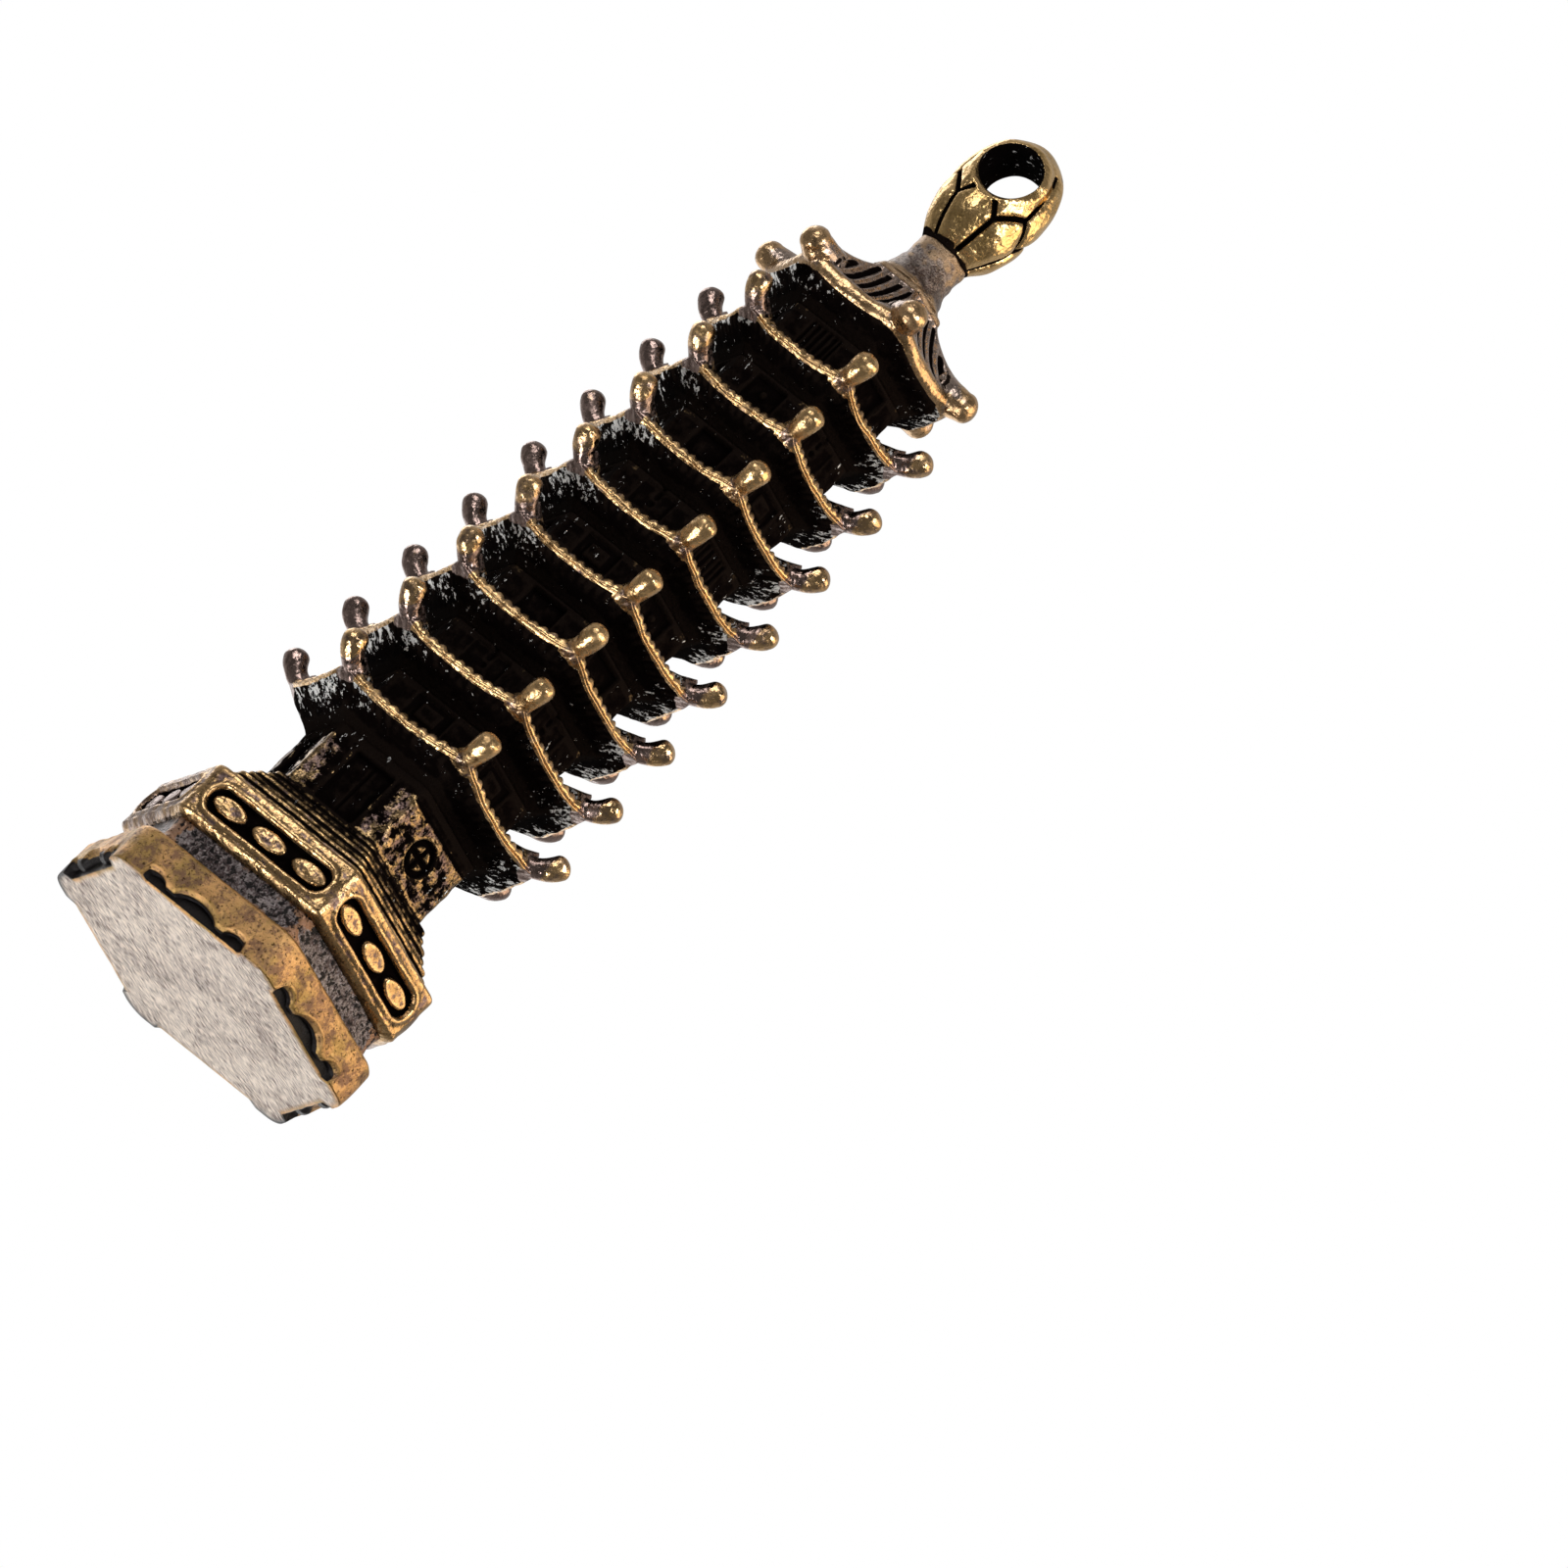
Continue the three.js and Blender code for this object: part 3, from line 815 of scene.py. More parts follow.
@dataclass
class Member(ABC):
    """One member of the casting, which stands for one CAD node."""

    node: str
    slot: Slot
    finish: Finish
    crisp: float = 0.045
    passes: int = 14

    @property
    def low(self) -> float:
        """The member's lowest level."""
        return node_levels(self.node)[0]

    @property
    def high(self) -> float:
        """The member's highest level."""
        return node_levels(self.node)[1]

    @property
    def height(self) -> float:
        """The member's height."""
        return self.high - self.low

    @abstractmethod
    def shape(self) -> bpy.types.Object:
        """Builds the mesh."""

    @abstractmethod
    def values(self, points: Array) -> dict[str, Array]:
        """Works out what the finish reads at each point.

        Args:
            points: The points of the mesh in millimetres.

        Returns:
            Arrays by name: zone is how readily the brass shows, glint how thickly silver flecks show on the
                bare patina, partly real residue and partly painted glints,
            dusk how far the brass has darkened, partly its own tarnish and partly painted shade, and ground
            where it is ground flat.
        """

    def build(self) -> bpy.types.Object:
        """Builds, dresses and places the member.

        Returns:
            The finished object.
        """
        made = self.shape()
        made.name = self.node + "_cast"
        self._keep_values(made.data)
        for polygon in made.data.polygons:
            polygon.use_smooth = True
        made.data.materials.clear()
        made.data.materials.append(FINISHES.get(self.finish))
        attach(made, "root")
        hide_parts(self.node)
        LOG.info("%s: %d points in place of %s", made.name, len(made.data.vertices), self.node)
        return made

    def _keep_values(self, mesh: bpy.types.Mesh) -> None:
        """Writes the values on the points of the mesh."""
        points = np.empty(len(mesh.vertices) * 3, np.float32)
        mesh.vertices.foreach_get("co", points)
        points = points.reshape(-1, 3).astype(float) / MM
        kept = {"zone": 0.0, "glint": 0.0, "ground": 0.0, "dusk_and_shade": 0.0, **self.values(points)}
        kept["proud"] = self._proud(mesh, points)
        for name, value in kept.items():
            attribute = mesh.attributes.new(name, "FLOAT", "POINT")
            spread = np.broadcast_to(np.asarray(value, np.float32), (len(points),))
            attribute.data.foreach_set("value", np.ascontiguousarray(spread))

    def _proud(self, mesh: bpy.types.Mesh, points: Array) -> Array:
        """How far each point stands out of its surroundings.

        Args:
            mesh: The mesh, for its edges and normals.
            points: Its points in millimetres.

        Returns:
            Values from 0 in a groove to 1 on an edge.
        """
        ends = np.empty(len(mesh.edges) * 2, np.int32)
        mesh.edges.foreach_get("vertices", ends)
        ends = ends.reshape(-1, 2)
        count = len(points)
        source = np.concatenate([ends[:, 0], ends[:, 1]])
        target = np.concatenate([ends[:, 1], ends[:, 0]])
        weight = np.bincount(source, minlength=count)
        blurred = points.copy()
        for _ in range(self.passes):
            near = [np.bincount(source, blurred[target, axis], count) for axis in range(3)]
            blurred = 0.5 * blurred + 0.5 * np.stack(near, 1) / np.maximum(weight, 1)[:, None]
        normals = np.empty(count * 3, np.float32)
        mesh.vertex_normals.foreach_get("vector", normals)
        standing = ((points - blurred) * normals.reshape(-1, 3)).sum(1)
        return 0.5 + 0.5 * np.tanh(standing / self.crisp)


@dataclass
class FootSlab(Member):
    """The broad foot: a skirt with a scalloped lower edge round a flat ground underside."""

    corner: float = 8.85
    fillet: float = 1.3
    bevel: float = 0.28
    apron_half: float = 3.0
    apron_depth: float = 0.42
    edge_gap: float = 0.02
    cusp: float = 0.24
    end_lobe: float = 0.55
    end_lobe_half: float = 0.66
    end_lobe_at: float = 2.45
    mid_lobe: float = 0.7
    mid_lobe_half: float = 1.25
    toe: float = 0.10
    roll: float = 0.11
    unevenness: Wobble = Wobble(3, 0.022)
    plan: HexPlan = HexPlan(128)

    def lobes(self, along: Array) -> Array:
        """The height of the scalloped edge above the underside."""
        end = np.clip(1 - ((np.abs(along) - self.end_lobe_at) / self.end_lobe_half) ** 2, 0, 1) ** 0.7
        mid = np.clip(1 - (along / self.mid_lobe_half) ** 2, 0, 1) ** 0.8
        arches = np.maximum((self.end_lobe - self.cusp) * end, (self.mid_lobe - self.cusp) * mid)
        inside = ease(self.apron_half + 0.12, self.apron_half - 0.1, np.abs(along))
        return self.edge_gap + (arches + self.cusp - self.edge_gap) * inside

    def shape(self) -> bpy.types.Object:
        """Builds the mesh."""
        height, toe, roll = self.height, self.toe, self.roll
        out, along = self.plan.outline(np.array([self.corner]), self.fillet)
        edge = self.lobes(along)
        inside = ease(self.apron_half + 0.15, self.apron_half - 0.12, np.abs(along))
        depth = self.apron_depth * inside + 0.02 * (1 - inside)
        rings: list[Array] = []

        def ring(inset: float | Array, z: float | Array) -> None:
            """Adds a ring at a height, set in from the outline."""
            rings.append(self.plan.place(out - inset, along * ((out - inset) / out), z))

        for share in (0.15, 0.35, 0.55, 0.75, 0.88, 0.95):
            rings.append(self.plan.place((out - depth) * share, along * share, 0.0))
        for turn in np.radians(np.linspace(0, 90, 5)):
            rise = toe * (1 - math.cos(turn)) * np.minimum(edge / 0.2, 1)
            ring(depth + toe * (1 - math.sin(turn)), rise)
        for share in np.linspace(0.3, 1, 5):
            ring(depth, np.maximum(toe * (1 - share) * 0.4 + edge * share, 0.02 * share))
        for turn in np.radians(np.linspace(8, 90, 6)):
            inset = depth * (1 - math.sin(turn) ** 0.8) + roll * (1 - math.sin(turn))
            ring(inset, edge + roll * (1 - math.cos(turn)) * 0.9)
        start = edge + roll
        for share in np.linspace(0.05, 1, 18):
            z = start + (height - self.bevel - start) * share
            belly = 0.04 * np.sin(math.pi * share) + 0.09 * inside * bell(z - start - 0.08, 0.15)
            belly = belly + 0.3 * np.maximum(edge - self.cusp, 0) * inside * bell(z - start - 0.15, 0.45)
            rings.append(self.plan.place(out + belly, along, z))
        for turn in np.radians(np.linspace(12, 90, 7)):
            ring(self.bevel * (1 - math.cos(turn)), height - self.bevel * (1 - math.sin(turn)))
        for share in (0.9, 0.7, 0.4):
            rings.append(self.plan.place(out * share, along * share, height))
        surface = Surface.from_rings(np.concatenate(rings))
        radius = from_axis(surface.points)
        self.unevenness.push(surface.points, np.maximum(radius, 1), ease(5.5, 7.5, radius))
        surface.points[:, 2] += self.low
        return surface.to_object(self.node)

    def values(self, points: Array) -> dict[str, Array]:
        """Works out what the finish reads at each point."""
        out, along, _ = side_coordinates(points)
        z = points[:, 2] - self.low
        face = self.corner * COS_HALF_SIDE
        in_apron = ease(self.apron_half + 0.1, self.apron_half - 0.1, np.abs(along))
        hollow = in_apron * ease(face - 0.06, face - 0.18, out) * ease(0.03, 0.09, z)
        rim = (self.apron_depth + 0.2) * in_apron + 0.3 * (1 - in_apron) + Wobble(5, 0.06).at(points)
        under = ease(0.035, 0.012, z) * ease(face - rim + 0.06, face - rim - 0.06, out)
        top = ease(2.2, 2.24, z)
        # Painted shade: the lower outer skirt goes black on the sides turned away from the lit front.
        painted_shade_away = turned_away(points) * ease(0.9, 0.4, z) * ease(face - 0.7, face - 0.4, out)
        return {"zone": 0.85 - 0.95 * hollow - 0.6 * top - 0.75 * painted_shade_away, "ground": under}


@dataclass
class PlinthWaist(Member):
    """The rough band between the foot and the body of the plinth."""

    corner: float = 7.95
    draft: float = 0.1
    fillet: float = 0.7
    cove: float = 0.12
    unevenness: Wobble = Wobble(11, 0.035, 14, 0.35, 1.6)
    plan: HexPlan = HexPlan(96)

    def shape(self) -> bpy.types.Object:
        """Builds the mesh."""
        share = np.linspace(0, 1, 20)
        corner = self.corner - self.draft * share - self.cove * np.sin(math.pi * share)
        out, along = self.plan.outline(corner, self.fillet)
        grid = self.plan.place(out, along, self.low + self.height * share[:, None])
        self.unevenness.push(grid, self.corner)
        return Surface.from_rings(grid).to_object(self.node)

    def values(self, points: Array) -> dict[str, Array]:
        """Works out what the finish reads at each point."""
        reach, across = corner_coordinates(points)
        return {"zone": ease(0.8, 0.2, np.abs(across)) * ease(6.5, 7.2, reach)}


@dataclass
class PlinthBody(Member):
    """The body of the plinth, with a sunk round-ended panel of three flat beads on each side."""

    corner: float = 8.4
    fillet: float = 0.6
    bevel: float = 0.26
    under_lip: float = 0.4
    panel_half: float = 3.56
    panel_rise: float = 0.72
    panel_round: float = 0.66
    panel_depth: float = 0.42
    frame_roll: float = 0.09
    beads: int = 3
    bead_pitch: float = 2.4
    bead_half: float = 1.06
    bead_rise: float = 0.5
    bead_sink: float = 0.08
    unevenness: Wobble = Wobble(17, 0.022)
    plan: HexPlan = HexPlan(130)

    def panel(self, along: Array, rise: Array) -> Array:
        """Signed distance to the edge of the sunk panel, negative inside."""
        return rounded_box(along, rise, self.panel_half, self.panel_rise, self.panel_round)

    def shape(self) -> bpy.types.Object:
        """Builds the mesh."""
        height = self.height
        shoulder = height - self.bevel * (1 - np.sin(np.radians(np.linspace(15, 90, 6))))
        z = np.concatenate([np.linspace(0, 0.25, 5), np.linspace(0.31, height - 0.3, 40), shoulder])
        corner = self.corner - self.under_lip * (1 - np.clip(z / 0.3, 0, 1)) ** 1.4
        over = np.clip((z - height + self.bevel) / self.bevel, 0, 1)
        corner = corner - self.bevel * (1 - np.sqrt(1 - over**2)) * 1.3
        out, along = self.plan.outline(corner, self.fillet)
        rise = z[:, None] - height / 2
        panel = self.panel(along, rise)
        drop = self.panel_depth * ease(0.05, -0.07, panel)
        for i in range(self.beads):
            middle = (i - (self.beads - 1) / 2) * self.bead_pitch
            bead = oval(along - middle, rise, self.bead_half, self.bead_rise)
            drop = drop - (self.panel_depth - self.bead_sink) * ease(0.02, -0.09, bead)
        out = out - drop + self.frame_roll * bell(panel - 0.16, 0.17)
        grid = self.plan.place(out, along, self.low + z[:, None])
        self.unevenness.push(grid, self.corner)
        return Surface.from_rings(grid).to_object(self.node)

    def values(self, points: Array) -> dict[str, Array]:
        """Works out what the finish reads at each point."""
        out, along, _ = side_coordinates(points)
        face = self.corner * COS_HALF_SIDE
        panel = self.panel(along, points[:, 2] - (self.low + self.high) / 2)
        bottom = ease(0.06, -0.02, panel) * ease(face - 0.14, face - 0.26, out)
        ends = ease(self.high - 0.02, self.high, points[:, 2])
        bead = ease(-0.1, -0.3, panel) * (1 - bottom)
        # Painted shade: the sides turned from the lit front lose brass and darken toward plum.
        away = turned_away(points)
        return {"zone": 0.8 - 0.9 * bottom - 0.5 * ends - 0.22 * away, "dusk_and_shade": 0.22 * bead + 0.5 * away}


@dataclass
class CrownStep(Member):
    """One step of the crown, split into two thin laminations by a groove."""

    index: int = 0
    first_corner: float = 7.55
    corner_drop: float = 0.72
    step_back: float = 0.42
    fillet: float = 0.5
    laminations: int = 2
    groove: float = 0.22
    plan: HexPlan = HexPlan(84)

    @property
    def corner(self) -> float:
        """The corner radius of this step."""
        return self.first_corner - self.corner_drop * self.index

    def shape(self) -> bpy.types.Object:
        """Builds the mesh."""
        share = np.linspace(0, 1, 31)
        place = share * self.laminations
        within = place - np.floor(np.minimum(place, self.laminations - 1e-6))
        step = np.minimum(np.floor(place), self.laminations - 1)
        ridge = 1 - np.abs(2 * within - 1) ** 3.2
        corner = self.corner - step * self.corner_drop * self.step_back - self.groove * (1 - ridge)
        out, along = self.plan.outline(corner, self.fillet)
        grid = self.plan.place(out, along, self.low + self.height * share[:, None])
        Wobble(23 + self.index, 0.03).push(grid, self.corner)
        return Surface.from_rings(grid).to_object(self.node)

    def values(self, points: Array) -> dict[str, Array]:
        """Works out what the finish reads at each point."""
        z = points[:, 2]
        within = ((z - self.low) / self.height * self.laminations) % 1.0
        ridge = 1 - np.abs(2 * within - 1) ** 2
        ends = ease(0.006, 0.0, np.abs(z - self.high)) + ease(0.006, 0.0, np.abs(z - self.low))
        zone = 0.10 + 0.43 * ridge**3 - 0.3 * np.clip(ends, 0, 1) - 0.05 * self.index
        return {"zone": zone, "glint": 0.2}


class FaceStyle(Enum):
    """What one face of a storey carries."""

    DOOR = "door"
    COIN = "coin"
    NOTCH = "notch"
    PANEL = "panel"
    SQUARE = "square"
    SLATS = "slats"
    DOT = "dot"


@dataclass(frozen=True)
class FaceRelief:
    """The relief of one face of a storey wall, as depth sunk below its plane."""

    style: FaceStyle
    scale: float = 1.0
    frame_half: float = 1.08
    frame_margin: float = 0.2
    door_level: float = 1.72
    coin_level: float = 1.75
    coin_radius: float = 0.95
    slat_pitch: float = 0.43

    def sunk(self, along: Array, rise: Array, height: float) -> Array:
        """The depth below the face.

        Args:
            along: Distance along the face from its middle.
            rise: Height above the foot of the wall.
            height: The height of the wall.

        Returns:
            Depths, with negative values where the relief stands proud.
        """
        x = along / self.scale
        z = rise - height / 2
        half = height / 2 - self.frame_margin
        box = ease(0.05, -0.05, rounded_box(x, z, self.frame_half, half, 0.1))
        if self.style is FaceStyle.DOOR:
            leaf = rounded_box(x, rise - self.door_level, 1.13, 1.5, 0.12)
            seam = bell(x, 0.07) * ease(0.0, -0.2, leaf) * 0.12
            return 0.36 * ease(0.05, -0.06, leaf) + seam
        if self.style is FaceStyle.COIN:
            above = rise - self.coin_level
            radius = np.hypot(x, above)
            disc = ease(self.coin_radius, self.coin_radius - 0.11, radius)
            cross = np.minimum(np.abs(x), np.abs(above))
            petals = ease(0.66, 0.56, radius) * ease(0.06, 0.18, cross) * ease(0.08, 0.2, radius)
            return 0.30 * disc - 0.24 * petals + 0.05 * bell(rise - 3.1, 0.08)
        if self.style is FaceStyle.SLATS:
            return box * (0.26 - 0.16 * (0.5 + 0.5 * np.cos(x * 2 * math.pi / self.slat_pitch)))
        if self.style is FaceStyle.DOT:
            return 0.3 * box - 0.28 * ease(0.28, 0.12, np.hypot(x, z))
        if self.style is FaceStyle.NOTCH:
            notch = np.maximum(bell(x, 0.14) * ease(0.05, 0.35, z), bell(np.hypot(x, z + 0.1), 0.16))
            return 0.12 * box + 0.22 * notch
        if self.style is FaceStyle.PANEL:
            inner = rounded_box(x, z, 0.62, half - 0.28, 0.1)
            return 0.2 * box - 0.16 * ease(0.05, -0.06, inner)
        return 0.42 * box


@dataclass
class Storey(Member):
    """One storey: a hexagonal wall whose faces carry doors, coins or windows."""

    tier: int = 1
    corner: float = 5.2
    full_corner: float = 5.2
    fillet: float = 0.34
    level_gap: float = 0.068
    styles: tuple[FaceStyle, ...] = (FaceStyle.SQUARE,) * SIDES
    wear: float = 0.16
    plan: HexPlan = HexPlan(90)

    def shape(self) -> bpy.types.Object:
        """Builds the mesh."""
        height = self.height
        levels = max(26, int(height / self.level_gap))
        rise = np.linspace(0, height, levels)[:, None]
        out, along = self.plan.outline(np.full(levels, self.corner), self.fillet)
        scale = self.corner / self.full_corner
        faces = [out - FaceRelief(style, scale).sunk(along, rise, height) for style in self.styles]
        grid = self.plan.place(np.stack(faces, axis=1), along, self.low + rise)
        inner = ease(0.0, 0.12, rise) * ease(height, height - 0.12, rise)
        Wobble(31 + self.tier, 0.03, 12, 0.5, 2.2).push(grid, self.corner, inner)
        return Surface.from_rings(grid).to_object(self.node)

    def values(self, points: Array) -> dict[str, Array]:
        """Works out what the finish reads at each point."""
        out, along, side = side_coordinates(points)
        face = self.corner * COS_HALF_SIDE
        rise = points[:, 2] - self.low
        standing = ease(face - 0.13, face - 0.03, out)
        span = ease(0.0, 0.4, rise) * ease(self.height - 0.15, self.height - 0.9, rise)
        coin = np.isin(side, [i for i, s in enumerate(self.styles) if s is FaceStyle.COIN])
        pier = ease(0.7, 2.0, np.abs(along) / (self.corner / self.full_corner)) + coin
        ring = coin * bell(np.hypot(along, rise - FaceRelief.coin_level) - 0.98, 0.14)
        zone = self.wear * standing * np.clip(pier, 0.1, 1) * (span if self.tier == 1 else 1.0)
        # Glint thickens toward the sides seen edge-on from the lit front: partly real flecks, partly
        # painted glints.
        return {"zone": zone - 0.2 * ring, "glint": 0.1 + 0.28 * away_from_lit_front(points)}


@dataclass(frozen=True)
class RoofLip:
    """The edge of an eave or roof, whose sides sag between lifted corners."""

    corner: float
    rise: float
    thickness: float
    lift: float
    lift_power: float = 2.5

    @property
    def face(self) -> float:
        """The distance from the axis to the middle of a side."""
        return self.corner * COS_HALF_SIDE


@dataclass
class Rings:
    """Rings of a roof, gathered from the bottom up."""

    plan: HexPlan
    base: float
    lift_power: float
    fillet: float
    placed: list[Array] = field(default_factory=list)

    def along(self, corner: float) -> Array:
        """Distances along a side, for the samples of a ring."""
        return self.plan.outline(np.array([corner]), self.fillet)[1]

    def add(self, corner: float, z: float | Array, lift: float, push: float | Array = 0.0) -> None:
        """Adds one ring.

        Args:
            corner: Its corner radius.
            z: Its height above the foot of the roof, before the lift of the corners.
            lift: How far its corners are lifted.
            push: How far it is pushed out along each side.
        """
        out, along = self.plan.outline(np.array([corner]), self.fillet)
        sag = np.abs(self.plan.share)[None, :] ** self.lift_power
        self.placed.append(self.plan.place(out + push, along, self.base + z + lift * sag))

    def closed(self) -> Surface:
        """The surface through all the rings."""
        return Surface.from_rings(np.concatenate(self.placed))


@dataclass
class Eave(Member):
    """An eave: a cove under a thin scalloped lip, a tiled slope, and a curled rod on each hip."""

    wall: float = 5.2
    next_wall: float = 5.05
    scale: float = 1.0
    lip_corner: float = 7.5
    tip_radius: float = 8.1
    tip_rise: float = 2.61
    top_rise: float = 1.95
    ledge: float = 0.3
    ledge_height: float = 0.15
    ribs: int = 13
    rib_height: float = 0.15
    rod_reach: float = 1.1
    rod_lift: float = 0.2
    rod_radii: Triple = (0.58, 0.50, 0.60)
    plan: HexPlan = HexPlan(112)

    @property
    def lip(self) -> RoofLip:
        """The lip at this tier's size."""
        return RoofLip(self.lip_corner * self.scale, 1.0, 0.35, 0.42)

    def rib(self, along: Array) -> Array:
        """The tile ribs across a side, from 0 between them to 1 on their crowns."""
        pitch = self.lip.corner / self.ribs
        return (0.5 + 0.5 * np.cos(along * 2 * math.pi / pitch)) ** 1.3

    def shape(self) -> bpy.types.Object:
        """Builds the mesh."""
        lip = self.lip
        rings = Rings(self.plan, self.low, lip.lift_power, 0.28)
        lip_along = rings.along(lip.corner)
        crown = self.rib(lip_along) ** 0.42 * ease(0.0, 0.5, lip.corner / 2 - np.abs(lip_along))
        for t in np.linspace(0, 1, 17)[:-1]:
            rafter = 0.045 * ease(0.45, 0.8, t) * crown
            corner = self.wall + (lip.corner - 0.06 - self.wall) * t
            rings.add(corner, lip.rise * t**0.78 - rafter, lip.lift * t**1.35)
        for turn in np.radians((-75, -40, 0, 40, 75)):
            z = lip.rise + 0.05 + 0.05 * math.sin(turn)
            rings.add(lip.corner - 0.06, z, lip.lift, 0.06 * math.cos(turn))
        for t in np.linspace(0, 1, 8):
            roundness = math.sin(math.pi * (0.2 + 0.7 * t))
            bulge = 0.02 + (0.04 + 0.02 * crown) * roundness - 0.10 * bell(t, 0.12)
            z = lip.rise + 0.10 + (lip.thickness - 0.08) * t + 0.14 * crown * t**2
            rings.add(lip.corner - 0.08 - 0.10 * t**3, z, lip.lift, bulge)
        self._slope(rings)
        surface = rings.closed()
        self._unsettle(surface)
        root = (lip.corner - self.rod_reach, self.low + lip.rise + lip.lift + self.rod_lift)
        rod = CurledRod(root, (self.tip_radius, self.low + self.tip_rise), *self.rod_radii)
        rods = rod.surface().on_corners()
        rods.points += Wobble(int(self.low * 10) % 97, 0.03, 9, 0.6, 2.0).at(rods.points)[:, None] * 0.6
        return combine(self.node, surface, rods, Joining.WELD)

    def _slope(self, rings: Rings) -> None:
        """Adds the tiled slope and the ledge at its top."""
        lip = self.lip
        ledge = self.next_wall + self.ledge
        foot = lip.rise + lip.thickness + 0.06
        slope_rise = self.top_rise - self.ledge_height - foot
        for t in np.linspace(0.04, 1, 19):
            corner = lip.corner - 0.18 + (ledge - lip.corner + 0.18) * t
            along = rings.along(corner)
            from_hip = corner / 2 - np.abs(along)
            hip = bell(from_hip, 0.6) * 0.95 * (1 - t) ** 0.4 * ease(0.0, 0.2, t)
            tiles = self.rib(along) * ease(0.15, 0.5, from_hip) * self.rib_height * (1 - 0.5 * t)
            sink = 0.05 * (1 - np.abs(2 * t - 1) ** 2)
            z = foot + slope_rise * t**2.2 + tiles + hip - sink
            rings.add(corner, z, lip.lift * (1 - t) ** 1.15)
        for t in np.linspace(0.3, 1, 4):
            rings.add(ledge, self.top_rise - self.ledge_height * (1 - t), 0.0)

    def _unsettle(self, surface: Surface) -> None:
        """Adds the unevenness of the casting beyond the wall."""
        radius = from_axis(surface.points)
        rim = ease(self.wall + 0.2, self.lip.corner * 0.85, radius)
        seed = int(self.low * 10) % 89
        surface.points[:, 2] += rim * Wobble(seed, 0.03, 12, 0.7, 3.0).at(surface.points)
        Wobble(seed + 5, 0.028, 14, 0.7, 2.4).push(surface.points, np.maximum(radius, 1), rim)

    def values(self, points: Array) -> dict[str, Array]:
        """Works out what the finish reads at each point."""
        lip = self.lip
        out, along, _ = side_coordinates(points)
        reach, across = corner_coordinates(points)
        lift = lip.lift * np.abs(2 * along / np.maximum(out / COS_HALF_SIDE, 1)) ** lip.lift_power
        rise = points[:, 2] - self.low - np.minimum(lift, lip.lift * 1.2)
        edge = ease(lip.face - 0.42, lip.face - 0.16, out) * ease(lip.rise - 0.10, lip.rise + 0.03, rise)
        rod = ease(0.75, 0.5, np.abs(across)) * ease(lip.corner - 1.1, lip.corner - 0.35, reach)
        rod = rod * ease(0.8, 1.25, points[:, 2] - self.low)
        above = ease(lip.rise + 0.2, lip.rise + 0.36, rise)
        zone = np.maximum.reduce([0.95 * edge, 0.9 * rod, 0.42 * above])
        ramp = ease(0.1, 0.9, (out / COS_HALF_SIDE - self.wall) / (lip.corner - self.wall))
        # far and hidden rise on parts turned from the lit front: they add painted shade to the rods and
        # thicken painted glints on the coves, besides real plum tarnish at the joint and on the slope.
        far = away_from_lit_front(points)
        inward = ease(self.tip_radius - 0.2, self.tip_radius - 0.6, reach)
        joint = bell(reach - lip.corner + 0.25, 0.42) * ease(0.7, 0.4, np.abs(across))
        hidden = past_front_corner(points, 80, 105)
        dusk_and_shade = rod * (0.5 * far * inward + 0.4 * far + 0.3 * hidden)
        dusk_and_shade = dusk_and_shade + 0.4 * above * (1 - rod) + 0.5 * joint
        return {"zone": zone, "glint": (0.3 + 0.7 * ramp) * (0.3 + 0.7 * far), "dusk_and_shade": dusk_and_shade}


